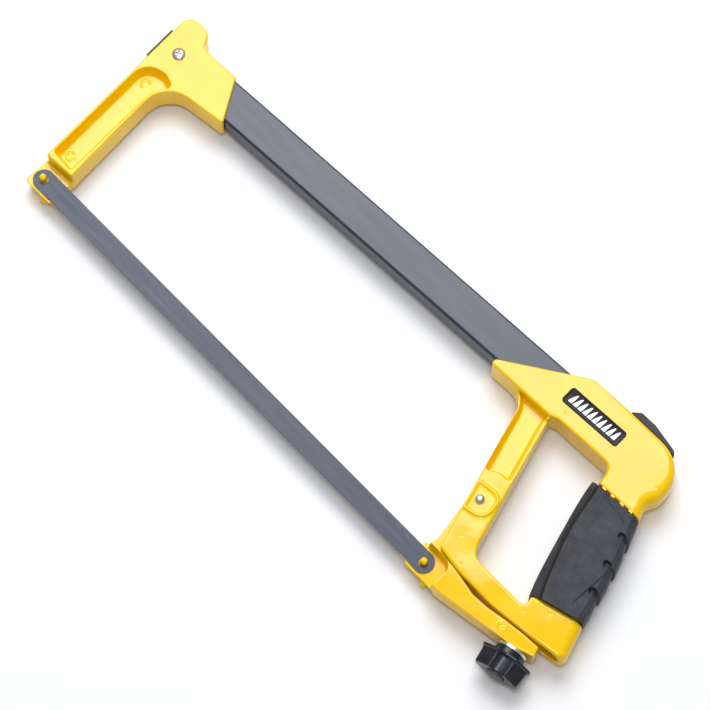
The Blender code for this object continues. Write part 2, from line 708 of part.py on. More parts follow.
def knob_ring(tip, shoulder, valley, z, growth=0.0):
    """A two-winged ring: (x, y) of a wing's tip and shoulder, and the finger valley's half width."""
    tip_x, tip_y = tip
    shoulder_x, shoulder_y = shoulder
    corners = [(tip_x, -tip_y, 1.4), (tip_x, tip_y, 1.4), (shoulder_x, shoulder_y, 1.0), (0.0, valley, 8.0),
               (-shoulder_x, shoulder_y, 1.0), (-tip_x, tip_y, 1.4), (-tip_x, -tip_y, 1.4),
               (-shoulder_x, -shoulder_y, 1.0), (0.0, -valley, 8.0), (shoulder_x, -shoulder_y, 1.0)]
    return at_height(rounded(inset(corners, -growth)), z)


def add_knob(shop, parent, black, grey, steel):
    """Knob, end cap and screw turn together; Z 0 is the plane of the knob's lip."""
    end = ((12.7, 2.2), (4.6, 7.7), 6.7)
    root = ((13.3, 2.6), (5.0, 8.7), 7.6)
    lip = ((14.3, 3.0), (5.6, 9.9), 8.6)
    rings = [knob_ring(*end, -KNOB_LENGTH, -0.8), knob_ring(*end, -KNOB_LENGTH + 0.6),
             knob_ring(*root, -1.8), knob_ring(*lip, -0.9), knob_ring(*lip, 0.0)]
    knob = bpy.data.objects.new("knob", loft(rings))
    shop.parts.objects.link(knob)
    knob.data.materials.append(black)
    shade(knob.data)
    knob.parent = parent
    shop.join(knob, cylinder((0, 0), COLLAR_RADIUS, -1.0, WASHER_FACE - GAP)).parent = parent
    shop.cut(knob, cylinder((0, 0), SCREW_RADIUS + GAP, -20, 20, 24)).parent = parent
    shop.cut(knob, cylinder((0, 0), HEAD_RADIUS + GAP, -20, -3.6, 6)).parent = parent
    shop.cut(knob, cylinder((0, 0), CAP_RADIUS + GAP, -20, -9.0, 32)).parent = parent
    cap_profile = [(0.0, -9.3), (CAP_RADIUS, -9.3), (CAP_RADIUS, -11.3), (4.2, -11.9), (2.4, -12.2), (0.0, -12.3)]
    cap = add_turned(shop, "knob_cap", cap_profile, grey, segments=32)
    cap.parent = parent
    screw_profile = [(0.0, SCREW_LENGTH), (SCREW_RADIUS - 0.8, SCREW_LENGTH), (SCREW_RADIUS, SCREW_LENGTH - 1.0),
                     (SCREW_RADIUS, -6.0), (0.0, -6.0)]
    screw = add_turned(shop, "tension_screw", screw_profile, steel)
    screw.parent = parent
    head = shop.join(screw, cylinder((0, 0), HEAD_RADIUS, -8.4, -3.6 - GAP, 6))
    head.parent = parent


def add_washer(shop, parent, steel):
    inner = SCREW_RADIUS + GAP
    low = WASHER_FACE
    high = WASHER_FACE + WASHER_THICKNESS
    profile = [(inner, high), (WASHER_RADIUS, high), (WASHER_RADIUS, low), (inner, low), (inner, high)]
    washer = add_turned(shop, "thrust_washer", profile, steel, segments=32)
    washer.parent = parent


def add_barrel_nut(shop, brass):
    inner = SCREW_RADIUS + GAP
    profile = [(inner, NUT_LENGTH), (NUT_RADIUS, NUT_LENGTH), (NUT_RADIUS, 0.0), (inner, 0.0), (inner, NUT_LENGTH)]
    nut = add_turned(shop, "barrel_nut", profile, brass)
    aim(nut, along_screw(NUT_START), SCREW_DIRECTION)


def add_blade(shop, parent, mat):
    """The blade's holes bear on the outer sides of both pins, so they stand closer together."""
    half = BLADE_WIDTH / 2
    front = GAP - half
    rear = PIN_SPACING - GAP + half
    corners = [(front, -half, half * 0.999), (rear, -half, half * 0.999), (rear, half, half * 0.999),
               (front, half, half * 0.999)]
    obj = shop.add("saw_blade", plate(rounded(corners), -BLADE_THICKNESS, 0.0), mat, parent)
    for x in (GAP, PIN_SPACING - GAP):
        shop.cut(obj, cylinder((x, 0), BLADE_HOLE_RADIUS, -5, 5, 24))


def stand_on_origin(shop):
    """Moves the saw so that the bottom middle of its box is the origin."""
    bpy.context.view_layer.update()
    graph = bpy.context.evaluated_depsgraph_get()
    points = []
    for obj in shop.parts.objects:
        if obj.type != "MESH":
            continue
        evaluated = obj.evaluated_get(graph)
        points += [evaluated.matrix_world @ vertex.co for vertex in evaluated.data.vertices]
    low = Vector([min(point[axis] for point in points) for axis in range(3)])
    high = Vector([max(point[axis] for point in points) for axis in range(3)])
    shop.root.location = (-(low.x + high.x) / 2, -(low.y + high.y) / 2, -low.z)


def main():
    clear_scene()
    shop = Workshop()
    yellow = material("yellow_paint", YELLOW, 0.30, 0.0)
    black = material("black_plastic", BLACK, 0.38, 0.0)
    rubber = material("black_rubber", BLACK, 0.60, 0.0)
    grey = material("grey_plastic", PALE_GREY, 0.40, 0.0)
    tube_paint = material("tube_paint", TUBE_GREY, 0.35, 0.2)
    blade_steel = material("blade_steel", BLADE_BLUE, 0.40, 0.7)
    steel = material("bright_steel", STEEL, 0.22, 1.0)
    brass = material("brass", BRASS, 0.35, 1.0)

    add_front_casting(shop, yellow)
    add_blade_pins(shop, "front", 0.0, yellow)
    add_tube(shop, tube_paint)
    add_tube_plug(shop, black)
    add_front_fixing(shop, steel)

    add_rear_handle(shop, yellow)
    add_rear_fixing(shop, steel)
    add_name_plate(shop, black, steel)
    add_grip(shop, rubber)
    add_heel_pad(shop, rubber)
    add_pivot(shop, steel, brass)
    add_barrel_nut(shop, brass)

    lever_axis = shop.empty("lever_axis", PIVOT)
    add_lever(shop, yellow, lever_axis)
    add_blade_pins(shop, "rear", PIN_SPACING, yellow, lever_axis)
    screw_axis = shop.empty("screw_axis", KNOB_LIP)
    screw_axis.matrix_basis = screw_frame(KNOB_LIP)
    add_knob(shop, screw_axis, black, grey, steel)
    add_washer(shop, screw_axis, steel)
    blade_axis = shop.empty("blade_axis", Vector((GAP - BLADE_WIDTH / 2, 0, -BLADE_THICKNESS)))
    add_blade(shop, blade_axis, blade_steel)
    stand_on_origin(shop)


main()
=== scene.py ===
"""Looks of the high-tension hacksaw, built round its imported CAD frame.

Outlines are in millimetres in the saw's design frame: X 0, Y 0 at the front blade pin,
+X along the blade to the rear pin, +Y towards the backbone tube, +Z up, Z 0 at the
blade's top face. An outline's corners are (x, y, radius). ORIGIN moves that frame to the
row's frame, which is in metres.
"""

import math

import bmesh
import bpy
from mathutils import Matrix, Vector, noise


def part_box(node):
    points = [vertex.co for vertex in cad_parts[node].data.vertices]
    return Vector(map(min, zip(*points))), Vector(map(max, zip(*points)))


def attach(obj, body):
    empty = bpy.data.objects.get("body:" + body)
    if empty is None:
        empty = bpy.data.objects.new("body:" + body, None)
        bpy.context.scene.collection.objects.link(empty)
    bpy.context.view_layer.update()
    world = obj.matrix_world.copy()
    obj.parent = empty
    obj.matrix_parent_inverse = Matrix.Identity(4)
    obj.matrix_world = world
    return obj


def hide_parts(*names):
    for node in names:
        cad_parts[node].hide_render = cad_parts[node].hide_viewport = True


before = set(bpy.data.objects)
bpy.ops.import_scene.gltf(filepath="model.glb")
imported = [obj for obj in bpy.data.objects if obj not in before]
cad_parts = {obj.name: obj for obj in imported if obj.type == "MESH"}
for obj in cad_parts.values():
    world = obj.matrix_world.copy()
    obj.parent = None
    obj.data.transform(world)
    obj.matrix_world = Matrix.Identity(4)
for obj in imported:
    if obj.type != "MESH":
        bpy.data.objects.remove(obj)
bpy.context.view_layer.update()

MM = 0.001
CUT = "DIFFERENCE"
JOIN = "UNION"
CLEAR = 20.0                             # how far cutters reach past the middle plane
ARC_STEP = math.radians(9)               # the most an arc turns between two points
EDGE_DEPTHS = (0.0, 0.08, 0.3, 0.7, 1.2, 2.0, 3.2, 4.4, 5.6, 8.0)
WELD = 0.004                             # gaps and edges shorter than this are closed
DECIMATE_RATIO = 0.35

PIN_TOP = 4.0
PIN_HOLE = 2.2
BLADE_LENGTH = 300.0                     # between the upright pins
BLADE_HALF = 6.0
BLADE_THICKNESS = 0.65
SEAT_Z = -0.95
SEAT_EDGE_Y = -7.4
ANGLED_PIN_OFFSET = 7.0
SEAT_TILT = math.radians(55)
GAP = 0.3
TUBE_HEIGHT = 22.0
TUBE_SLOT_HALF = 6.55
TUBE_TILT = math.radians(2.9)
TUBE_AXIS_Y = 102.4
FRONT_HALF = 8.0
ARM_HALF = 9.25
CHEEK_HALF = 8.4
CORE_HALF = 7.2
GRIP_HALF = 11.5
LEVER_HALF = 6.6
NECK_HALF = 4.0
WEB_HALF = 1.5                           # the wall between two pockets
POCKET_DRAFT = 2.2
PIVOT = Vector((297.1, 42.9, 0.0))
SCREW_LEAN = math.radians(11.5)
SCREW_UP = Vector((-math.sin(SCREW_LEAN), math.cos(SCREW_LEAN), 0.0))
SCREW_ACROSS = Vector((SCREW_UP.y, -SCREW_UP.x, 0.0))
KNOB_LIP = Vector((366.2, -4.5, 0.0))
SCREW_BORE = 3.3
FRONT_SCREW = -2.3                       # along the tube, from above the front pin
REAR_SCREW = 300.0
FIXING_HOLE = 2.3
FIXING_HEAD = (3.6, 2.04)                # radius and height of a fixing screw's head
FIXING_SINK = 0.6                        # how deep the front screw and nut sit
PLATE_CENTRE = Vector((305.9, 118.2))


def design_origin():
    """Where the design frame's origin lies in the row's frame, from the front blade pin."""
    low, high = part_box("front_blade_pin")
    return Vector(((low.x + high.x) / 2, (low.y + high.y) / 2, high.z - PIN_TOP * MM))


ORIGIN = design_origin()


# --- outlines ------------------------------------------------------------------

def cross(a, b):
    return a.x * b.y - a.y * b.x


def rounded(corners, arc_steps=0):
    """Points of a polygon whose (x, y, radius) corners are replaced by arcs."""
    points = []
    for index, (x, y, radius) in enumerate(corners):
        corner = Vector((x, y))
        before = Vector(corners[index - 1][:2])
        after = Vector(corners[(index + 1) % len(corners)][:2])
        if radius == 0:
            points.append(corner)
            continue
        arriving = (corner - before).normalized()
        leaving = (after - corner).normalized()
        turn = math.atan2(cross(arriving, leaving), arriving.dot(leaving))
        tangent = radius * math.tan(abs(turn) / 2)
        side = math.copysign(1.0, turn)
        start = corner - arriving * tangent
        centre = start + Vector((-arriving.y, arriving.x)) * radius * side
        steps = arc_steps or max(2, math.ceil(abs(turn) / ARC_STEP - 0.001))
        for step in range(steps + 1):
            angle = turn * step / steps
            points.append(centre + Matrix.Rotation(angle, 2) @ (start - centre))
    return points


def inset_sides(corners, distances):
    """The anticlockwise polygon with side i, which leaves corner i, moved in by distances[i]."""
    result = []
    count = len(corners)
    for index, (x, y, radius) in enumerate(corners):
        corner = Vector((x, y))
        before = Vector(corners[index - 1][:2])
        after = Vector(corners[(index + 1) % count][:2])
        arriving = (corner - before).normalized()
        leaving = (after - corner).normalized()
        normal_in = Vector((-arriving.y, arriving.x))
        normal_out = Vector((-leaving.y, leaving.x))
        move_in = distances[index - 1]
        move_out = distances[index]
        turn = cross(normal_in, normal_out)
        if abs(turn) < 0.02:
            shift = normal_in * move_in
        else:
            shift = Vector((move_in * normal_out.y - move_out * normal_in.y,
                            move_out * normal_in.x - move_in * normal_out.x)) / turn
        change = (move_in + move_out) / 2 * math.copysign(1.0, turn)
        new_radius = max(radius - change, 0.3) if radius else 0
        result.append((x + shift.x, y + shift.y, new_radius))
    return result


def inset(corners, distance):
    return inset_sides(corners, [distance] * len(corners))


def on_tube(s, t=0.0):
    """The point s along the tube's axis from above the front pin, and t to its upper side."""
    return Vector((s * math.cos(TUBE_TILT) - t * math.sin(TUBE_TILT),
                   TUBE_AXIS_Y + s * math.sin(TUBE_TILT) + t * math.cos(TUBE_TILT)))


def tube_rectangle(s_start, s_end, half_height):
    ends = [(s_start, -half_height), (s_end, -half_height),
            (s_end, half_height), (s_start, half_height)]
    return [(*on_tube(s, t), 0.0) for s, t in ends]


def at_height(points, z):
    return [(point.x, point.y, z) for point in points]


# --- meshes, in metres in the row's frame ---------------------------------------

def place(point):
    return Vector(point) * MM + ORIGIN


def finished_mesh(bm, name):
    bmesh.ops.recalc_face_normals(bm, faces=bm.faces)
    mesh = bpy.data.meshes.new(name)
    bm.to_mesh(mesh)
    bm.free()
    return mesh


def loft(rings):
    """A solid through rings of points, each with the same count, closed at both ends."""
    bm = bmesh.new()
    loops = [[bm.verts.new(place(point)) for point in ring] for ring in rings]
    for lower, upper in zip(loops, loops[1:]):
        for index in range(len(lower)):
            after = (index + 1) % len(lower)
            bm.faces.new((lower[index], lower[after], upper[after], upper[index]))
    bm.faces.new(list(reversed(loops[0])))
    bm.faces.new(loops[-1])
    return finished_mesh(bm, "loft")


def plate(points, z_low, z_high):
    return loft([at_height(points, z_low), at_height(points, z_high)])


def edge_inset(softness, depth):
    """How far a rounded edge of radius softness stands back at a depth below its face."""
    if depth >= softness:
        return 0.0
    return softness - math.sqrt(softness ** 2 - (softness - depth) ** 2)


def soft_plate(corners, half, softness):
    """A plate from -half to half with rounded edges, one radius or one for each side."""
    if not isinstance(softness, list):
        softness = [softness] * len(corners)
    rings = []
    for depth in [depth for depth in EDGE_DEPTHS if depth <= max(softness)]:
        moved = inset_sides(corners, [edge_inset(radius, depth) for radius in softness])
        rings.append((rounded(moved), half - depth))
    upper = [at_height(points, z) for points, z in rings]
    lower = [at_height(points, -z) for points, z in rings]
    return loft(lower + upper[::-1])


def pocket(corners, rim_z, floor_z, draft):
    """A cutter whose walls lean in from the rim to the floor, and that stands 1 mm clear."""
    over = 1.0
    lean = draft * over / abs(rim_z - floor_z)
    direction = math.copysign(1.0, rim_z)
    wide = at_height(rounded(inset(corners, -lean)), rim_z + over * direction)
    narrow = at_height(rounded(inset(corners, draft)), floor_z)
    return loft([narrow, wide])


def axis_frame(origin, axis):
    """The matrix that takes +Z to axis and the zero point to origin."""
    turn = Vector((0, 0, 1)).rotation_difference(Vector(axis)).to_matrix().to_4x4()
    return Matrix.Translation(Vector(origin)) @ turn


def spun(profile, origin=(0, 0, 0), axis=(0, 0, 1), segments=48):
    """A solid of revolution: (radius, height) points that start and end on the axis."""
    seat = axis_frame(origin, axis)
    bm = bmesh.new()
    rings = []
    for radius, height in profile:
        if radius == 0:
            rings.append([bm.verts.new(place(seat @ Vector((0, 0, height))))])
            continue
        ring = []
        for step in range(segments):
            angle = math.tau * step / segments
            local = Vector((radius * math.cos(angle), radius * math.sin(angle), height))
            ring.append(bm.verts.new(place(seat @ local)))
        rings.append(ring)
    for lower, upper in zip(rings, rings[1:]):
        for step in range(segments):
            after = (step + 1) % segments
            quad = [lower[step % len(lower)], lower[after % len(lower)],
                    upper[after % len(upper)], upper[step % len(upper)]]
            unique = list(dict.fromkeys(quad))
            if len(unique) > 2:
                bm.faces.new(unique)
    return finished_mesh(bm, "spun")


def rod(centre, radius, z_low, z_high, axis=(0, 0, 1), segments=32):
    """A plain cylinder along axis from centre, between two distances."""
    height = centre[2] if len(centre) > 2 else 0.0
    return spun([(0, z_low), (radius, z_low), (radius, z_high), (0, z_high)],
                (centre[0], centre[1], height), axis, segments)


def carve(name, base, steps):
    """base with each (operation, mesh) of steps carried out, as one new object."""
    scene = bpy.context.scene
    obj = bpy.data.objects.new(name, base)
    scene.collection.objects.link(obj)
    tools = []
    for operation, mesh in steps:
        tool = bpy.data.objects.new("tool", mesh)
        scene.collection.objects.link(tool)
        tools.append(tool)
        modifier = obj.modifiers.new("carve", "BOOLEAN")
        modifier.operation = operation
        modifier.object = tool
        modifier.solver = "EXACT"
    settle(obj)
    for tool in tools:
        bpy.data.objects.remove(tool)
    prune(obj)
    return obj


def prune(obj):
    """Welds hairline gaps and drops the slivers that lie loose beside the main shell."""
    bm = bmesh.new()
    bm.from_mesh(obj.data)
    bmesh.ops.remove_doubles(bm, verts=bm.verts, dist=WELD * MM)
    bmesh.ops.dissolve_degenerate(bm, edges=bm.edges, dist=WELD * MM)
    bmesh.ops.triangulate(bm, faces=[face for face in bm.faces if len(face.verts) > 4])
    bmesh.ops.dissolve_degenerate(bm, edges=bm.edges, dist=WELD * MM)
    loose = set(bm.verts)
    main = set()
    while len(loose) > len(main):
        start = loose.pop()
        island = {start}
        front = [start]
        while front:
            vertex = front.pop()
            for edge in vertex.link_edges:
                other = edge.other_vert(vertex)
                if other in loose:
                    loose.discard(other)
                    island.add(other)
                    front.append(other)
        if len(island) > len(main):
            main = island
    slivers = [vertex for vertex in bm.verts if vertex not in main]
    bmesh.ops.delete(bm, geom=slivers, context="VERTS")
    bm.to_mesh(obj.data)
    bm.free()


def settle(obj):
    """Replaces an object's mesh by its modified mesh and drops the modifiers."""
    bpy.context.view_layer.update()
    graph = bpy.context.evaluated_depsgraph_get()
    mesh = bpy.data.meshes.new_from_object(obj.evaluated_get(graph))
    obj.modifiers.clear()
    obj.data = mesh


def soften(obj, voxel, passes):
    """Gives a carved solid the rounded edges and fillets of a casting or moulding."""
    remesh = obj.modifiers.new("remesh", "REMESH")
    remesh.mode = "VOXEL"
    remesh.voxel_size = voxel * MM * 1.0
    smooth = obj.modifiers.new("smooth", "SMOOTH")
    smooth.factor = 0.5
    smooth.iterations = passes
    settle(obj)
    decimate = obj.modifiers.new("decimate", "DECIMATE")
    decimate.ratio = DECIMATE_RATIO
    settle(obj)
    prune(obj)
    obj.data.shade_smooth()


def shade(mesh, crease):
    """Smooth shading, with edges that turn by more than crease degrees kept sharp."""
    mesh.shade_smooth()
    mesh.set_sharp_from_angle(angle=math.radians(crease))


# --- castings ------------------------------------------------------------------

TILT_NORMAL = Vector((0.0, -math.sin(SEAT_TILT), -math.cos(SEAT_TILT)))
TILT_RUN = Vector((0.0, math.cos(SEAT_TILT), -math.sin(SEAT_TILT)))
TILT_EDGE = Vector((0.0, SEAT_EDGE_Y, -1.6))
TILT_CENTRE = TILT_EDGE + TILT_RUN * 4.0

FRONT_OUTLINE = [(-6.9, 8.8, 1.5), (12.7, 10.2, 1.5), (5.0, 85.7, 16.5), (45.9, 91.2, 1.8),
                 (29.6, 116.1, 1.5), (4.4, 114.9, 4.0), (-0.6, 124.2, 8.0), (-16.7, 123.6, 7.0)]
FRONT_SEAT = [(-7.2, SEAT_EDGE_Y, 3.0), (12.6, SEAT_EDGE_Y, 1.0), (12.6, 14.0, 0),
              (-7.2, 14.0, 0)]
FRONT_POCKET = [(-5.6, 13.2, 1.5), (9.5, 12.0, 1.5), (4.6, 76.5, 8.0), (10.4, 86.4, 2.4),
                (2.0, 89.2, 6.0), (-11.9, 86.0, 11.0)]
ARM_OUTLINE = [(246.3, 99.9, 2.0), (288.6, 101.5, 3.0), (293.2, 103.5, 3.0), (330.9, 105.2, 6.0),
               (333.3, 94.1, 0.5), (361.9, 95.5, 0.5), (358.6, 104.4, 5.0), (361.5, 110.5, 8.0),
               (361.5, 134.8, 20.0), (315.0, 134.6, 8.0), (290.6, 133.2, 6.0), (246.9, 103.7, 1.5)]
ARM_EDGES = [1.0, 1.0, 1.0, 2.0, 0.5, 5.4, 5.4, 5.4, 2.0, 1.0, 1.0, 1.0]
LOWER_OUTLINE = [(258.0, 106.0, 0), (258.0, 100.3, 0), (271.6, 100.8, 14.0), (301.2, 10.0, 2.0),
                 (318.0, 7.7, 10.0), (342.0, 7.5, 30.0), (368.7, 10.4, 20.0), (389.2, 13.7, 3.6),
                 (382.2, 34.2, 1.5), (352.4, 26.0, 1.5), (354.8, 19.4, 3.0), (315.9, 19.2, 9.0),
                 (288.6, 105.5, 0)]
LOWER_EDGES = [1.0, 1.0, 1.0, 1.0, 1.0, 1.0, 1.4, 5.4, 1.0, 1.0, 1.0, 1.0, 1.0]
CORE_OUTLINE = [(355.0, 22.0, 0), (381.6, 26.0, 0), (358.8, 100.0, 0), (333.8, 100.0, 0)]
STRUT_POCKET = [(286.2, 55.8, 2.5), (294.0, 60.6, 4.0), (301.0, 60.4, 1.5), (289.6, 97.0, 0.5),
                (288.4, 106.0, 1.0), (264.0, 106.0, 1.0), (263.8, 100.9, 3.0), (272.6, 98.4, 14.0)]
BOSS_OUTLINE = [(293.5, 33.2, 1.6), (308.4, 36.0, 8.0), (304.4, 52.5, 6.0), (288.2, 50.6, 2.0)]
FORK_SLOT = [(280.0, 0.0, 0), (311.4, 0.0, 0), (304.2, 52.0, 5.0), (280.0, 52.0, 0)]
LEVER_OUTLINE = [(296.0, SEAT_EDGE_Y, 1.0), (316.0, SEAT_EDGE_Y, 14.0), (365.2, 0.55, 40.0),
                 (376.3, 4.3, 1.2), (374.3, 9.9, 1.2), (364.2, 9.4, 10.0), (352.0, 7.8, 12.0),
                 (341.0, 5.7, 12.0), (331.0, 5.1, 9.0), (320.8, 7.1, 3.0), (312.5, 8.4, 3.0),
                 (296.0, 9.5, 1.0)]
LEVER_TONGUE = [(292.3, SEAT_EDGE_Y, 2.5), (312.5, SEAT_EDGE_Y, 0), (312.5, 5.0, 0),
                (304.0, 9.0, 0), (292.3, 9.0, 1.0)]
LEVER_SEAT = [(284.0, -14.0, 0), (312.4, -14.0, 0), (313.2, 8.5, 6.5), (284.0, 8.5, 0)]
NECK_OUTLINE = [(294.8, 3.0, 0), (309.4, 3.0, 0), (302.2, 48.8, 5.6), (291.2, 48.8, 5.6),
                (292.4, 34.0, 10.0), (296.3, 14.0, 8.0)]

GRIP_FOOT = Vector((367.25, 30.55))      # middle of the grip's lower end
GRIP_HEAD = Vector((346.95, 94.35))
GRIP_LENGTH = 66.95
GRIP_END_TILT = (Vector((383.2, 34.9)) - Vector((351.3, 26.2))).normalized()
GRIP_TOP_TILT = (Vector((363.6, 95.2)) - Vector((330.3, 93.5))).normalized()
NOTCHES = (0.266, 0.517, 0.780)          # up the grip, where the rear edge has finger scallops
NOTCH_U = 11.5                           # across the grip, where the scallops start
NOTCH_RADIUS = 2.4
NOTCH_DEPTH = 2.8
WINDOWS = (-9.6, -3.6, 2.8, 8.7)         # across the grip, gaps in its upper lip
WINDOW_DEPTH = 0.016                     # as a share of the grip's length
TAB_HALF_X = 1.2                         # the handle's tabs that show in the windows
TAB_HALF_Z = 9.15
TAB_SHARES = (0.994, 1.01)               # from and to, up the grip
FACE_Z = 11.25
FACE_CROWN = 0.17

# Edges of the grip's face, as (share of the way up, distance across), and its creases.
FACET_EDGE = [(0.0, 10.2), (0.15, 12.0), (0.3, 13.0), (0.45, 13.9), (0.6, 14.2), (0.75, 13.6),
              (0.9, 12.7), (1.0, 12.4)]
REAR_EDGE = [(0.0, 15.0), (0.13, 15.4), (0.27, 16.2), (0.53, 16.9), (0.8, 16.3), (0.92, 15.5),
             (1.0, 15.1)]
LOW_CREASE = [(0.107, 5.33), (0.28, 9.07), (0.425, 12.3)]
HIGH_CREASE = [(-9.0, 0.94), (-1.3, 0.925), (6.3, 0.901), (9.0, 0.875)]   # (across, share up)


def tilted_seat_cutter(x_start, x_end):
    """Cuts the 55 degree seat below a casting's lower edge."""
    near = TILT_EDGE - TILT_RUN * 2.0
    far = TILT_EDGE + TILT_RUN * 14.0
    section = [near, far, far + TILT_NORMAL * 14.0, near + TILT_NORMAL * 14.0]
    return loft([[(x, point.y, point.z) for point in section] for x in (x_start, x_end)])


def tube_slot(s_start, s_end):
    """Cuts the slot that takes the tube's end."""
    outline = rounded(tube_rectangle(s_start, s_end, TUBE_HEIGHT / 2 + GAP))
    return plate(outline, -TUBE_SLOT_HALF, TUBE_SLOT_HALF)


def pin_holes(x):
    """Holes for the upright pin at x and the angled pin beside it."""
    seat = TILT_CENTRE + Vector((x + ANGLED_PIN_OFFSET, 0, 0))
    upright = rod((x, 0.0), PIN_HOLE, SEAT_Z - 5.3, PIN_TOP, segments=24)
    tilted = rod(seat, PIN_HOLE, -3.3, 3.6, TILT_NORMAL, 24)
    return [(CUT, upright), (CUT, tilted)]


def ejector_mark(x, y, radius, floor_z, start, end, height=0.4):
    """The raised arc that an ejector pin leaves in a pocket's floor, between two angles."""
    side = math.copysign(1.0, floor_z)
    low = abs(floor_z) - 0.4
    high = abs(floor_z) + height
    section = ((radius, low), (radius - 0.12, high), (radius - 0.7, high), (radius - 0.85, low))
    steps = round((end - start) / 8)
    rings = []
    for step in range(steps + 1):
        angle = math.radians(start + (end - start) * step / steps)
        rings.append([(x + reach * math.cos(angle), y + reach * math.sin(angle), z * side)
                      for reach, z in section])
    return loft(rings)


def build_front_casting():
    steps = [(JOIN, plate(rounded(FRONT_SEAT), -FRONT_HALF, SEAT_Z))]
    for side in (1, -1):
        steps.append((CUT, pocket(FRONT_POCKET, side * FRONT_HALF, side * WEB_HALF, POCKET_DRAFT)))
    for side in (1, -1):
        steps.append((JOIN, ejector_mark(0.9, 19.7, 3.0, side * WEB_HALF, 75, 385)))
        steps.append((JOIN, ejector_mark(-3.5, 78.6, 3.0, side * WEB_HALF, 55, 265)))
    steps.append((CUT, tube_slot(-24, 60)))
    steps.append((CUT, tilted_seat_cutter(-12, 18)))
    obj = carve("v_front_casting", soft_plate(FRONT_OUTLINE, FRONT_HALF, 1.1), steps)
    soften(obj, voxel=0.36, passes=5)
    centre = on_tube(FRONT_SCREW)
    hole = rod(centre, FIXING_HOLE, -CLEAR, CLEAR)
    head_seat = rod(centre, 4.0, FRONT_HALF - FIXING_SINK, CLEAR, segments=48)
    nut_seat = rod(centre, 4.4, -CLEAR, -FRONT_HALF + FIXING_SINK, segments=6)
    return carve_on(obj, [(CUT, hole), (CUT, head_seat), (CUT, nut_seat)] + pin_holes(0.0))


def carve_on(obj, steps):
    """Crisp cuts in a softened casting, such as drilled holes."""
    name = obj.name
    mesh = obj.data
    bpy.data.objects.remove(obj)
    result = carve(name, mesh, steps)
    shade(result.data, crease=40)
    return result


def strut_ramp(side):
    """Takes the strut down to its thin end, from the rivet's boss up to the arm."""
    section = [(60.0, CHEEK_HALF), (99.4, 6.0), (99.41, 15.0), (60.0, 15.0)]
    return loft([[(x, y, z * side) for y, z in section] for x in (255.0, 320.0)])


def handle_hollow():
    """The oval hollow that runs up into the grip's core from the handle's foot."""
    lean = 0.25
    mouth = (Vector((378.6, 8.0)), 8.0, 6.2)
    inner = (Vector((363.2, 54.0)), 5.0, 4.2)
    rings = []
    for centre, half_x, half_z in (mouth, inner):
        ring = []
        for step in range(40):
            angle = math.tau * step / 40
            x = half_x * math.cos(angle)
            ring.append((centre.x + x * math.cos(lean), centre.y + x * math.sin(lean),
                         half_z * math.sin(angle)))
        rings.append(ring)
    return loft(rings)


def name_plate_outline(half_x, half_y, radius):
    """A rounded rectangle that lies along the tube, round the name plate's centre."""
    corners = [(-half_x, -half_y, radius), (half_x, -half_y, radius), (half_x, half_y, radius),
               (-half_x, half_y, radius)]
    turn = Matrix.Rotation(TUBE_TILT, 2)
    return [PLATE_CENTRE + turn @ point for point in rounded(corners)]


def build_rear_handle():
    steps = [(CUT, strut_ramp(1)), (CUT, strut_ramp(-1)),
             (JOIN, soft_plate(BOSS_OUTLINE, ARM_HALF, 0.5))]
    boss_field = inset(BOSS_OUTLINE, 1.4)
    for side in (1, -1):
        steps.append((CUT, pocket(STRUT_POCKET, side * CHEEK_HALF, side * WEB_HALF, POCKET_DRAFT)))
        steps.append((CUT, pocket(boss_field, side * ARM_HALF, side * (ARM_HALF - 0.75), 0.3)))
    steps.append((JOIN, soft_plate(CORE_OUTLINE, CORE_HALF, 2.0)))
    steps.append((JOIN, soft_plate(ARM_OUTLINE, ARM_HALF, ARM_EDGES)))
    steps.append((CUT, tube_slot(230, 318.3)))
    steps.append((CUT, plate(rounded(FORK_SLOT), -NECK_HALF - GAP, NECK_HALF + GAP)))
    steps.append((CUT, handle_hollow()))
    obj = carve("v_rear_handle", soft_plate(LOWER_OUTLINE, CHEEK_HALF, LOWER_EDGES), steps)
    soften(obj, voxel=0.42, passes=5)
    bore = rod(KNOB_LIP + SCREW_UP * 8.0, SCREW_BORE, -5, 46, SCREW_UP)
    nut_seat = rod(KNOB_LIP + SCREW_UP * 17.2, 4.9, -9.0, 16.3, SCREW_UP)
    plate_seat = plate(name_plate_outline(19.4, 5.2, 1.9), ARM_HALF - 0.5, ARM_HALF + 5)
    crisp = [(CUT, rod(PIVOT, 2.5, -CLEAR, CLEAR)), (CUT, bore), (CUT, nut_seat),
             (CUT, plate_seat), (CUT, rod(on_tube(REAR_SCREW), FIXING_HOLE, -CLEAR, 0))]
    low, high = TAB_SHARES
    for u in WINDOWS:
        corners = [GRIP_FOOT.lerp(GRIP_HEAD, share) + GRIP_TOP_TILT * (u + side)
                   for side, share in ((-TAB_HALF_X, low), (TAB_HALF_X, low),
                                       (TAB_HALF_X, high), (-TAB_HALF_X, high))]
        crisp.append((JOIN, plate(corners, -TAB_HALF_Z, TAB_HALF_Z)))
    return carve_on(obj, crisp)


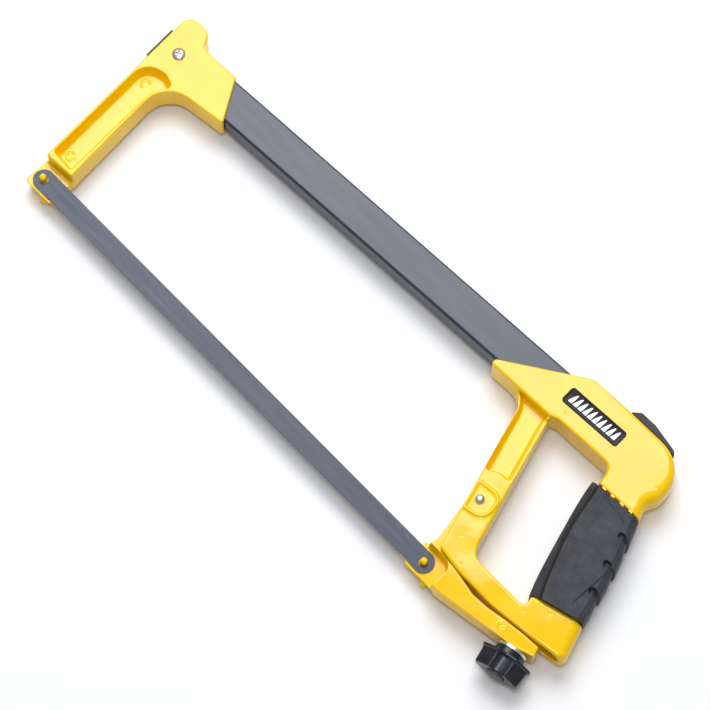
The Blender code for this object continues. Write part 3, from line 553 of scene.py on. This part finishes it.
def build_lever():
    steps = [(JOIN, plate(rounded(LEVER_TONGUE), -LEVER_HALF + 0.2, SEAT_Z)),
             (JOIN, plate(rounded(NECK_OUTLINE), -NECK_HALF, NECK_HALF)),
             (CUT, pocket(LEVER_SEAT, LEVER_HALF, SEAT_Z, 0.9)),
             (JOIN, ejector_mark(353.4, 3.8, 2.9, LEVER_HALF, -30, 250, 0.3)),
             (JOIN, ejector_mark(353.8, 3.4, 1.5, LEVER_HALF, -80, 80, 0.25)),
             (CUT, tilted_seat_cutter(288, 314))]
    obj = carve("v_tension_lever", soft_plate(LEVER_OUTLINE, LEVER_HALF, 0.9), steps)
    soften(obj, voxel=0.24, passes=2)
    slot_length = 5.0
    slot = []
    for centre_x, start in ((0.0, math.pi / 2), (slot_length, -math.pi / 2)):
        for step in range(33):
            angle = start + math.pi * step / 32
            slot.append((centre_x + SCREW_BORE * math.cos(angle), SCREW_BORE * math.sin(angle)))
    rings = [[KNOB_LIP + SCREW_ACROSS * x + Vector((0, 0, 1)) * z + SCREW_UP * height
              for x, z in slot] for height in (-5, 20)]
    crisp = pin_holes(BLADE_LENGTH) + [(CUT, rod(PIVOT, 3.8, -CLEAR, CLEAR)), (CUT, loft(rings))]
    return carve_on(obj, crisp)


# --- grip, knob and small pieces -------------------------------------------------

def smooth_step(low, high, value):
    t = min(max((value - low) / (high - low), 0.0), 1.0)
    return t * t * (3 - 2 * t)


def table(pairs, value):
    """Reads a value between the (place, value) pairs, or the end value beyond them."""
    for (place_a, value_a), (place_b, value_b) in zip(pairs, pairs[1:]):
        if value <= place_b:
            break
    share = min(max((value - place_a) / (place_b - place_a), 0.0), 1.0)
    return value_a + (value_b - value_a) * share


def section_path(v):
    """The upper half of the grip's section at v, a share of the way up, from the side in
    the finger opening to the rear side.
    """
    left = 16.8 + 0.5 * v + 1.3 * (1 - (2 * v - 1) ** 4)
    facet = table(FACET_EDGE, v)
    right = table(REAR_EDGE, v)
    path = [(-left, 0.0), (-left, 2.5), (-left + 0.05, 4.4), (-left + 0.35, 6.2),
            (-left + 0.9, 7.4), (-left + 1.9, 8.3), (-facet - 1.7, 8.9), (-facet - 0.9, 9.2),
            (-facet - 0.35, 10.0), (-facet, 10.9), (-facet + 0.4, FACE_Z)]
    columns = 92
    for step in range(1, columns):
        u = -facet + 0.4 + (right - 4.0 + facet - 0.4) * step / columns
        path.append((u, FACE_Z + FACE_CROWN * math.sin(math.pi * step / columns)))
    path += [(right - 4.0, FACE_Z), (right - 3.5, 10.95), (right - 3.1, 10.6), (right - 2.4, 10.45),
             (right - 1.6, 10.1), (right - 0.9, 9.4), (right - 0.4, 8.4), (right - 0.1, 7.0),
             (right, 5.0), (right, 2.5), (right, 0.0)]
    return path


def grip_relief(u, v, z):
    """How far a point of the grip's skin sinks, and how far its rear edge moves in."""
    along = GRIP_FOOT.lerp(GRIP_HEAD, v) - GRIP_FOOT
    sink = 0.0
    pull = 0.0
    for notch in NOTCHES:
        away = (v - notch) * GRIP_LENGTH
        reach = math.hypot(away * 1.05, (u - NOTCH_U) * 0.9) / NOTCH_RADIUS
        sink = max(sink, NOTCH_DEPTH * (1 - smooth_step(0.7, 1.0, reach)))
        groove = 1 - smooth_step(0.5, 1.4, abs(away + 0.25 * (u - NOTCH_U)))
        if u > NOTCH_U:
            sink = max(sink, 1.4 * groove)
            pull = max(pull, 1.6 * groove)
            if away < 0:
                pull = max(pull, 1.1 * (1 - smooth_step(0.0, 10.0, -away)))
    pull *= smooth_step(NOTCH_U, NOTCH_U + 3.0, u)
    low = 1 - smooth_step(0.40, 0.47, v)
    crease_u = table(LOW_CREASE, v)
    bead = 0.25 * math.exp(-((u - crease_u + 0.5) / 0.35) ** 2)
    edge = smooth_step(crease_u - 0.25, crease_u + 0.25, u) - bead
    sink += 0.7 * edge * low * smooth_step(0.06, 0.14, v)
    crease_v = table(HIGH_CREASE, u)
    rise = smooth_step(-9.0, -5.0, u) * (1 - smooth_step(7.5, 10.5, u))
    sink += 0.6 * smooth_step(crease_v - 0.005, crease_v + 0.005, v) * rise
    ripple = noise.noise(Vector((u * 0.22, along.y * 0.22, 3.0)))
    return sink * smooth_step(3.0, 9.0, z) + 0.07 * ripple, pull


def build_grip():
    rows = 220
    rings = []
    for row in range(rows + 1):
        v = row / rows
        upper = []
        for u, z in section_path(v):
            sink, pull = grip_relief(u, v, z)
            window = max(1 - smooth_step(1.1, 1.6, abs(u - spot)) for spot in WINDOWS)
            shift = window * smooth_step(0.965, 1.0, v) * smooth_step(8.0, 10.5, z) * WINDOW_DEPTH
            centre = GRIP_FOOT.lerp(GRIP_HEAD, v - shift)
            across = GRIP_END_TILT.lerp(GRIP_TOP_TILT, v).normalized()
            point = centre + across * (u - pull)
            sink += 2.1 * smooth_step(0.972, 1.0, v) ** 2 * smooth_step(3.0, 9.0, z)
            upper.append((point.x, point.y, min(max(z - sink, 0.0), GRIP_HALF - 0.03)))
        lower = [(x, y, -z) for x, y, z in upper[1:-1]]
        rings.append(upper + lower[::-1])
    core = plate(rounded(inset(CORE_OUTLINE, -GAP)), -7.5, 7.5)
    obj = carve("v_grip_sleeve", loft(rings), [(CUT, core)])
    shade(obj.data, crease=50)
    return obj


def knob_ring(tip, shoulder, valley, height, growth=0.0):
    """The knob's two-winged outline at a height along the screw, from its lip."""
    tip_x, tip_y = tip
    shoulder_x, shoulder_y = shoulder
    corners = [(tip_x, -tip_y, 1.4), (tip_x, tip_y, 1.4), (shoulder_x, shoulder_y, 1.0),
               (0.0, valley, 8.0), (-shoulder_x, shoulder_y, 1.0), (-tip_x, tip_y, 1.4),
               (-tip_x, -tip_y, 1.4), (-shoulder_x, -shoulder_y, 1.0), (0.0, -valley, 8.0),
               (shoulder_x, -shoulder_y, 1.0)]
    down = Vector((0, 0, -1))
    return [KNOB_LIP + SCREW_ACROSS * point.x + down * point.y + SCREW_UP * height
            for point in rounded(inset(corners, -growth), 8)]


def build_knob():
    end = ((12.7, 2.2), (4.9, 7.7), 5.4)
    root = ((13.3, 2.6), (5.2, 8.7), 6.6)
    lip = ((14.3, 3.0), (5.6, 9.9), 8.6)
    rings = [knob_ring(*end, -10.72, -0.5), knob_ring(*end, -10.2), knob_ring(*root, -1.7),
             knob_ring(*lip, -0.9), knob_ring(*lip, 0.0)]
    steps = [(JOIN, rod(KNOB_LIP, 8.6, -1.0, 3.3, SCREW_UP, 64)),
             (CUT, rod(KNOB_LIP, SCREW_BORE, -CLEAR, CLEAR, SCREW_UP)),
             (CUT, rod(KNOB_LIP, 5.2, -CLEAR, -3.6, SCREW_UP, 6)),
             (CUT, rod(KNOB_LIP, 5.3, -CLEAR, -9.0, SCREW_UP, 48))]
    obj = carve("v_knob", loft(rings), steps)
    soften(obj, voxel=0.2, passes=3)
    return obj


def build_heel_pad():
    outline = [(317.0, 135.1, 0.3), (346.19, 135.1, 20.3), (350.4, 133.0, 0.3), (347.6, 136.2, 2.0),
               (331.0, 139.3, 5.0), (321.0, 139.1, 1.2), (317.2, 135.7, 0.3)]
    obj = carve("v_heel_pad", soft_plate(outline, 6.5, 0.3), [])
    soften(obj, voxel=0.2, passes=3)
    return obj


def build_screw(name, s, base_z, shank_z, side):
    """A low pan head with a cross recess, and its shank, at a place along the tube."""
    centre = on_tube(s)
    radius, height = FIXING_HEAD
    shank = 2.0
    profile = [(0, shank_z), (shank, shank_z), (shank, base_z), (radius, base_z),
               (radius, base_z + height * 0.35)]
    for share in (0.97, 0.9, 0.8, 0.62, 0.4, 0.2):
        drop = 0.5 * height * share ** 3.2
        profile.append((radius * share, base_z + height - drop))
    profile.append((0, base_z + height))
    recess_foot = (0.3, 0.08, base_z + height - 1.7)
    recess_mouth = (radius * 0.68, 0.78, base_z + height + 0.35)
    cuts = []
    for turn in (0.5, 0.5 + math.pi / 2):
        rings = []
        for half, width, z in (recess_foot, recess_mouth):
            ring = []
            for x, y in ((-half, -width), (half, -width), (half, width), (-half, width)):
                spot = Matrix.Rotation(turn, 2) @ Vector((x, y))
                ring.append((centre.x + spot.x, centre.y + spot.y, z * side))
            rings.append(ring)
        cuts.append((CUT, loft(rings)))
    obj = carve(name, spun(profile, (centre.x, centre.y, 0.0), (0, 0, side), 64), cuts)
    shade(obj.data, crease=35)
    return obj


def build_name_plate():
    """A black plate with a raised rim and a shallow, softly edged field."""
    body = plate(name_plate_outline(19.1, 4.9, 1.6), ARM_HALF - 0.45, ARM_HALF + 0.55)
    field = loft([at_height(name_plate_outline(18.35, 4.15, 1.2), ARM_HALF + 0.25),
                  at_height(name_plate_outline(18.6, 4.4, 1.4), ARM_HALF + 0.7)])
    obj = carve("v_name_plate", body, [(CUT, field)])
    bevel = obj.modifiers.new("bevel", "BEVEL")
    bevel.width = 0.12 * MM
    bevel.segments = 2
    settle(obj)
    shade(obj.data, crease=35)
    return obj


def build_emblem():
    """A row of ten raised saw teeth on the name plate."""
    turn = Matrix.Rotation(TUBE_TILT, 2)
    levels = ((0.0, ARM_HALF + 0.2), (0.0, ARM_HALF + 0.45), (-0.14, ARM_HALF + 0.58))
    bm = bmesh.new()
    for tooth in range(10):
        x = -16.2 + tooth * 3.3
        outline = ((x, -2.9), (x + 2.7, -2.9), (x + 2.9, 2.9), (x + 2.25, 2.9), (x + 0.9, 0.1))
        middle = Vector((x + 1.7, -0.4))
        loops = []
        for grow, z in levels:
            loop = []
            for corner in outline:
                away = Vector(corner) - middle
                spot = PLATE_CENTRE + turn @ (middle + away * (1 + grow / max(away.length, 1.0)))
                loop.append(bm.verts.new(place((spot.x, spot.y, z))))
            loops.append(loop)
        for lower, upper in zip(loops, loops[1:]):
            for index in range(len(outline)):
                after = (index + 1) % len(outline)
                bm.faces.new((lower[index], lower[after], upper[after], upper[index]))
        bm.faces.new(loops[0][::-1])
        bm.faces.new(loops[-1])
    obj = bpy.data.objects.new("v_plate_emblem", finished_mesh(bm, "v_plate_emblem"))
    bpy.context.scene.collection.objects.link(obj)
    return obj


def blade_end(centre_x, start):
    """The blade's round end, half a turn anticlockwise from an angle in degrees."""
    points = []
    for step in range(25):
        angle = math.radians(start + 180 * step / 24)
        points.append(Vector((centre_x + BLADE_HALF * math.cos(angle),
                              BLADE_HALF * math.sin(angle))))
    return points


def build_blade():
    """The blade with its row of fine teeth along the outer edge."""
    depth = 0.75
    pitch = 1.06
    rake = 0.78
    first, last = 11.0, 289.0
    ends = (0.3, 299.7)
    outline = blade_end(ends[0], 90)
    for tooth in range(int((last - first) / pitch)):
        x = first + tooth * pitch
        outline.append(Vector((x, -BLADE_HALF)))
        outline.append(Vector((x + pitch * rake, -BLADE_HALF + depth)))
    outline += blade_end(ends[1], -90)
    holes = [(CUT, rod((x, 0.0), 2.5, -5, 5, segments=40)) for x in ends]
    return carve("v_saw_blade", plate(outline, -BLADE_THICKNESS, 0.0), holes)


# --- materials -----------------------------------------------------------------

def srgb(code):
    channels = [int(code[start:start + 2], 16) / 255 for start in (0, 2, 4)]
    linear = [((c + 0.055) / 1.055) ** 2.4 if c > 0.04045 else c / 12.92 for c in channels]
    return (*linear, 1.0)


class Finish:
    """One material's node tree. Noises lie in object space, in features per metre, and
    bump distances are in metres. Colours are sRGB codes.
    """

    def __init__(self, name):
        self.material = bpy.data.materials.new(name)
        self.material.use_nodes = True
        self.tree = self.material.node_tree
        self.shader = self.tree.nodes["Principled BSDF"]
        self.coordinates = self.add("ShaderNodeTexCoord").outputs["Object"]

    def add(self, kind, **settings):
        node = self.tree.nodes.new(kind)
        for key, value in settings.items():
            setattr(node, key, value)
        return node

    def link(self, output, socket):
        self.tree.links.new(output, socket)

    def stretched(self, stretch, turn=0.0):
        mapping = self.add("ShaderNodeMapping")
        mapping.inputs["Scale"].default_value = stretch
        mapping.inputs["Rotation"].default_value = (0, 0, turn)
        self.link(self.coordinates, mapping.inputs["Vector"])
        return mapping.outputs["Vector"]

    def noise(self, scale, detail=3.0, vector=None, roughness=0.5):
        node = self.add("ShaderNodeTexNoise")
        node.inputs["Scale"].default_value = scale
        node.inputs["Detail"].default_value = detail
        node.inputs["Roughness"].default_value = roughness
        self.link(vector or self.coordinates, node.inputs["Vector"])
        return node.outputs["Fac"]

    def cells(self, scale):
        node = self.add("ShaderNodeTexVoronoi")
        node.inputs["Scale"].default_value = scale
        self.link(self.coordinates, node.inputs["Vector"])
        return node.outputs["Distance"]

    def spread(self, source, low, high, from_low=0.0, from_high=1.0):
        """The source's range from_low to from_high, taken to low to high and held there."""
        node = self.add("ShaderNodeMapRange")
        node.inputs["From Min"].default_value = from_low
        node.inputs["From Max"].default_value = from_high
        node.inputs["To Min"].default_value = low
        node.inputs["To Max"].default_value = high
        self.link(source, node.inputs["Value"])
        return node.outputs["Result"]

    def math(self, operation, source, other=0.0):
        """One step of arithmetic with an output and a number or a second output."""
        node = self.add("ShaderNodeMath", operation=operation)
        self.link(source, node.inputs[0])
        if isinstance(other, float):
            node.inputs[1].default_value = other
        else:
            self.link(other, node.inputs[1])
        return node.outputs["Value"]

    def part(self, letter):
        """One of the three object coordinates."""
        node = self.add("ShaderNodeSeparateXYZ")
        self.link(self.coordinates, node.inputs["Vector"])
        return node.outputs[letter]

    def product(self, a, b):
        return self.math("MULTIPLY", a, b)

    def blend(self, factor, a, b):
        """A colour between a and b, each a colour or an output."""
        node = self.add("ShaderNodeMix", data_type="RGBA")
        self.link(factor, node.inputs["Factor"])
        for value, socket in ((a, node.inputs["A"]), (b, node.inputs["B"])):
            if isinstance(value, tuple):
                socket.default_value = value
            else:
                self.link(value, socket)
        return node.outputs["Result"]

    def bump(self, height, strength, distance, before=None):
        node = self.add("ShaderNodeBump")
        node.inputs["Strength"].default_value = strength
        node.inputs["Distance"].default_value = distance
        self.link(height, node.inputs["Height"])
        if before:
            self.link(before, node.inputs["Normal"])
        return node.outputs["Normal"]

    def done(self, colour, roughness, normal, **plain):
        """Links the three outputs to the shader, and sets its plain numbers."""
        self.link(colour, self.shader.inputs["Base Color"])
        self.link(roughness, self.shader.inputs["Roughness"])
        self.link(normal, self.shader.inputs["Normal"])
        for name, value in plain.items():
            self.shader.inputs[name.replace("_", " ")].default_value = value
        return self.material


def yellow_enamel():
    """Glossy yellow paint on a die casting: slight ripple, small dents and a few dust nibs."""
    f = Finish("yellow_enamel")
    cloud = f.spread(f.noise(45, 2), 0, 1, 0.35, 0.65)
    colour = f.blend(cloud, srgb("FED003"), srgb("FCC901"))
    edge = f.spread(f.noise(160, 4), 0, 1, 0.55, 0.8)
    colour = f.blend(f.spread(edge, 0, 0.25), colour, srgb("F7BE05"))
    nibs = f.spread(f.cells(420), 1, 0, 0.05, 0.09)
    chosen = f.spread(f.noise(130, 1), 0, 1, 0.62, 0.66)
    speck = f.product(nibs, chosen)
    colour = f.blend(f.spread(speck, 0, 0.55), colour, srgb("8A6A10"))
    rough = f.spread(f.noise(220, 4), 0.07, 0.16)
    swell = f.bump(f.noise(45, 1), 0.3, 0.0012)
    ripple = f.bump(f.noise(170, 2), 0.12, 0.0004, swell)
    dents = f.spread(f.cells(120), 0, 1, 0.0, 0.16)
    pitted = f.bump(dents, 0.45, 0.00025, ripple)
    peel = f.bump(f.noise(900, 2), 0.12, 0.00012, pitted)
    nib = f.bump(speck, 0.5, 0.0002, peel)
    return f.done(colour, rough, nib, Specular_IOR_Level=0.48)


def tube_enamel():
    """Satin blue-grey paint on steel tube, drawn faintly lengthwise, with pale dust."""
    f = Finish("tube_enamel")
    along = f.stretched((0.12, 1.0, 1.0), -TUBE_TILT)
    streak = f.spread(f.noise(260, 4, along), 0, 1, 0.3, 0.7)
    colour = f.blend(streak, srgb("212A37"), srgb("2B3544"))
    specks = f.spread(f.cells(650), 1, 0, 0.06, 0.12)
    chosen = f.spread(f.noise(90, 2), 0, 1, 0.52, 0.62)
    speck = f.product(specks, chosen)
    colour = f.blend(f.spread(speck, 0, 0.4), colour, srgb("8A8F99"))
    rough = f.spread(f.noise(300, 4, along), 0.30, 0.44)
    ripple = f.bump(f.noise(60, 2, along), 0.25, 0.0004)
    fine = f.bump(f.noise(2200, 2), 0.18, 0.00006, ripple)
    return f.done(colour, rough, fine, Coat_Weight=0.25, Coat_Roughness=0.25)


def grip_rubber():
    """Charcoal moulded rubber, with a fine grain and pale dust rubbed over it.

    A dark brown strip of painted reflection, standing for the darker surroundings that the
    slanted groove mirrors, runs up the groove beside the grip's face: height is the distance
    from the saw's middle plane, and beside is the distance across the grip from its axis.
    """
    f = Finish("grip_rubber")
    cloud = f.spread(f.noise(120, 4), 0, 1, 0.35, 0.7)
    colour = f.blend(cloud, srgb("303237"), srgb("404349"))
    height = f.math("ABSOLUTE", f.math("SUBTRACT", f.part("Z"), ORIGIN.z))
    # Painted reflection: a dark brown band up the groove beside the face, where the slanted rubber
    # mirrors darker surroundings.
    low_edge, high_edge, side_edge = (0.0082, 0.0091), (0.0108, 0.0112), (-0.0095, -0.0085)
    painted_reflection = f.product(f.spread(height, 0, 1, *low_edge), f.spread(height, 1, 0, *high_edge))
    axis = (GRIP_HEAD - GRIP_FOOT).normalized()
    start = place((*GRIP_FOOT, 0.0)).to_2d()
    across = f.math("ADD", f.math("MULTIPLY", f.part("X"), axis.y),
                    f.math("MULTIPLY", f.part("Y"), -axis.x))
    beside = f.math("SUBTRACT", across, start.x * axis.y - start.y * axis.x)
    painted_reflection = f.product(painted_reflection, f.spread(beside, 1, 0, *side_edge))
    # Blends the painted dark brown reflection into the rubber's colour.
    colour = f.blend(f.spread(painted_reflection, 0, 0.85), colour, srgb("1B1712"))
    dust = f.product(f.spread(f.noise(900, 4, roughness=0.7), 0, 1, 0.55, 0.75),
                     f.spread(f.noise(70, 2), 0, 1, 0.4, 0.7))
    colour = f.blend(f.spread(dust, 0, 0.35), colour, srgb("8E8C86"))
    rough = f.spread(f.noise(400, 3), 0.55, 0.75)
    grain = f.bump(f.noise(2600, 3), 0.35, 0.0001)
    wave = f.bump(f.noise(150, 2), 0.25, 0.0005, grain)
    return f.done(colour, rough, wave, Specular_IOR_Level=0.4)


def moulded_black(name, tint, gloss, shine=0.5):
    """Hard black plastic with faint flow marks and fine scuffs."""
    f = Finish(name)
    cloud = f.spread(f.noise(150, 3), 0, 1, 0.3, 0.7)
    colour = f.blend(cloud, srgb(tint), srgb("101113"))
    dust = f.spread(f.cells(900), 1, 0, 0.04, 0.08)
    chosen = f.product(dust, f.spread(f.noise(160, 2), 0, 1, 0.55, 0.62))
    colour = f.blend(f.spread(chosen, 0, 0.5), colour, srgb("8C8D90"))
    rough = f.spread(f.noise(350, 4), gloss, gloss + 0.16)
    flow = f.bump(f.noise(190, 2), 0.3, 0.0003)
    scuff = f.bump(f.noise(2400, 3), 0.2, 0.00006, flow)
    return f.done(colour, rough, scuff, Specular_IOR_Level=shine)


def grey_cap_plastic():
    """Matt grey plastic of the knob's cap."""
    f = Finish("grey_cap_plastic")
    cloud = f.spread(f.noise(200, 3), 0, 1, 0.35, 0.65)
    colour = f.blend(cloud, srgb("4A4D52"), srgb("3A3D42"))
    rough = f.spread(f.noise(400, 3), 0.38, 0.55)
    return f.done(colour, rough, f.bump(f.noise(1500, 3), 0.3, 0.00008), Specular_IOR_Level=0.5)


def blade_steel():
    """Hardened blade strip, painted blue-grey, with marks along its length."""
    f = Finish("blade_steel")
    along = f.stretched((0.08, 1.0, 1.0))
    streak = f.spread(f.noise(500, 5, along), 0, 1, 0.3, 0.7)
    colour = f.blend(streak, srgb("3A414B"), srgb("454C57"))
    worn = f.spread(f.noise(380, 5), 0, 1, 0.64, 0.8)
    colour = f.blend(f.spread(worn, 0, 0.3), colour, srgb("7C828C"))
    rough = f.spread(f.noise(420, 4, along), 0.28, 0.46)
    grain = f.bump(f.noise(1400, 3, along), 0.3, 0.00006)
    return f.done(colour, rough, grain, Metallic=0.25, Specular_IOR_Level=0.4)


def plated_steel(name="plated_steel", tint="F4F4F4", tarnish="D6D7D9"):
    """Bright zinc plating with fine turning marks and a little tarnish."""
    f = Finish(name)
    cloud = f.spread(f.noise(350, 4), 0, 1, 0.35, 0.7)
    colour = f.blend(cloud, srgb(tint), srgb(tarnish))
    rough = f.spread(f.noise(800, 4), 0.22, 0.38)
    grain = f.bump(f.noise(3000, 3), 0.3, 0.00005)
    return f.done(colour, rough, grain, Metallic=1.0)


def brass():
    """Cast brass of the hidden bush and nut."""
    f = Finish("cast_brass")
    cloud = f.spread(f.noise(300, 4), 0, 1, 0.35, 0.7)
    colour = f.blend(cloud, srgb("C9A24A"), srgb("A8813A"))
    rough = f.spread(f.noise(700, 4), 0.25, 0.42)
    return f.done(colour, rough, f.bump(f.noise(2600, 3), 0.3, 0.00005), Metallic=1.0)


YELLOW = yellow_enamel()
TUBE_PAINT = tube_enamel()
RUBBER = grip_rubber()
KNOB_BLACK = moulded_black("knob_plastic", "252830", 0.2)
PAD_BLACK = moulded_black("pad_plastic", "27282A", 0.44)
PLATE_BLACK = moulded_black("plate_plastic", "0C0D0F", 0.22, 0.22)
CAP_GREY = grey_cap_plastic()
BLADE = blade_steel()
STEEL = plated_steel()
SILVER = plated_steel("emblem_silver", "C4C6CA", "A4A7AC")
BRASS = brass()


# --- placing the pieces ----------------------------------------------------------

def fit(obj, material, body, slot, *nodes):
    """Gives a piece its material and body, in place of the CAD nodes it stands for."""
    obj.data.materials.clear()
    obj.data.materials.append(material)
    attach(obj, body)
    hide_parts(*nodes)


fit(build_front_casting(), YELLOW, "frame", "yellow_paint", "front_casting")
fit(build_rear_handle(), YELLOW, "frame", "yellow_paint", "rear_handle")
fit(build_lever(), YELLOW, "lever", "yellow_paint", "tension_lever")
fit(build_grip(), RUBBER, "frame", "black_rubber", "grip_sleeve")
fit(build_knob(), KNOB_BLACK, "knob_screw", "black_plastic", "knob")
fit(build_heel_pad(), PAD_BLACK, "frame", "black_rubber", "heel_pad")
fit(build_blade(), BLADE, "blade", "blade_steel", "saw_blade")
fit(build_name_plate(), PLATE_BLACK, "frame", "black_plastic", "name_plate")
fit(build_emblem(), SILVER, "frame", "bright_steel", "plate_emblem")
fit(build_screw("v_front_screw", FRONT_SCREW, FRONT_HALF - FIXING_SINK, -9.25, 1),
    STEEL, "frame", "bright_steel", "front_screw")
fit(build_screw("v_rear_screw", REAR_SCREW, ARM_HALF, 3.55, -1),
    STEEL, "frame", "bright_steel", "rear_screw")

# The CAD's own pieces that stay visible.
NODE_FINISHES = {
    "front_blade_pin": YELLOW, "rear_blade_pin": YELLOW,
    "front_angled_pin": YELLOW, "rear_angled_pin": YELLOW,
    "frame_tube": TUBE_PAINT, "tube_end_plug": PAD_BLACK,
    "front_screw_nut": STEEL,
    "pivot_rivet": STEEL, "pivot_bush": BRASS, "thrust_washer": STEEL,
    "tension_screw": STEEL, "barrel_nut": BRASS,
    "knob_cap": CAP_GREY,
}
for node_name, finish in NODE_FINISHES.items():
    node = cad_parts[node_name]
    node.data.materials.clear()
    node.data.materials.append(finish)
    shade(node.data, crease=32)


# --- floor, light and camera ------------------------------------------------------

FLOOR_SIZE = 6.0
FLOOR_Z = -0.0004
LIGHT_COLOUR = (0.97, 0.985, 1.03)
LIGHT_TARGET = (180.0, 60.0, 0.0)
WORLD_STRENGTH = 0.27
CAMERA_PLACE = Vector((595.39, -327.98, 1448.10))
CAMERA_RIGHT = Vector((0.68638, 0.72724, 0.0))
CAMERA_UP = Vector((-0.67904, 0.64090, 0.35799))
CAMERA_LENS = 147.44
SENSOR_WIDTH = 36.0


def studio_floor():
    bm = bmesh.new()
    bmesh.ops.create_grid(bm, x_segments=2, y_segments=2, size=FLOOR_SIZE)
    mesh = bpy.data.meshes.new("studio_floor")
    bm.to_mesh(mesh)
    bm.free()
    floor = bpy.data.objects.new("studio_floor", mesh)
    floor.location.z = FLOOR_Z
    bpy.context.scene.collection.objects.link(floor)
    f = Finish("studio_paper")
    colour = f.blend(f.noise(6, 2), srgb("FDFDFD"), srgb("F9F9FA"))
    rough = f.spread(f.noise(30, 2), 0.85, 0.95)
    floor.data.materials.append(f.done(colour, rough, f.bump(f.noise(500, 2), 0.02, 0.0001)))


def soft_light(name, position, size, power):
    """An area light at a place in the design frame that faces the saw's middle. Its size
    is in metres and its power in watts.
    """
    data = bpy.data.lights.new(name, "AREA")
    data.shape = "RECTANGLE"
    data.size, data.size_y = size
    data.energy = power
    data.color = LIGHT_COLOUR
    light = bpy.data.objects.new(name, data)
    bpy.context.scene.collection.objects.link(light)
    target = place(LIGHT_TARGET)
    light.location = place(position)
    light.rotation_euler = (target - light.location).to_track_quat("-Z", "Y").to_euler()
    light.visible_camera = False


studio_floor()
soft_light("key_light", (-446.0, 726.0, 1500.0), size=(1.25, 1.12), power=26.0)
soft_light("fill_light", (400.0, -120.0, 1600.0), size=(0.5, 0.5), power=6.8)

world = bpy.data.worlds.new("studio")
world.use_nodes = True
world.node_tree.nodes["Background"].inputs["Color"].default_value = (1.0, 1.0, 1.0, 1.0)
world.node_tree.nodes["Background"].inputs["Strength"].default_value = WORLD_STRENGTH
bpy.context.scene.world = world
bpy.context.scene.view_settings.view_transform = "Standard"

camera_data = bpy.data.cameras.new("camera")
camera_data.lens = CAMERA_LENS
camera_data.sensor_width = SENSOR_WIDTH
camera = bpy.data.objects.new("camera", camera_data)
bpy.context.scene.collection.objects.link(camera)
back = CAMERA_RIGHT.cross(CAMERA_UP)
camera.matrix_world = Matrix.Translation(place(CAMERA_PLACE)) @ Matrix(
    (CAMERA_RIGHT, CAMERA_UP, back)).transposed().to_4x4()
bpy.context.scene.camera = camera
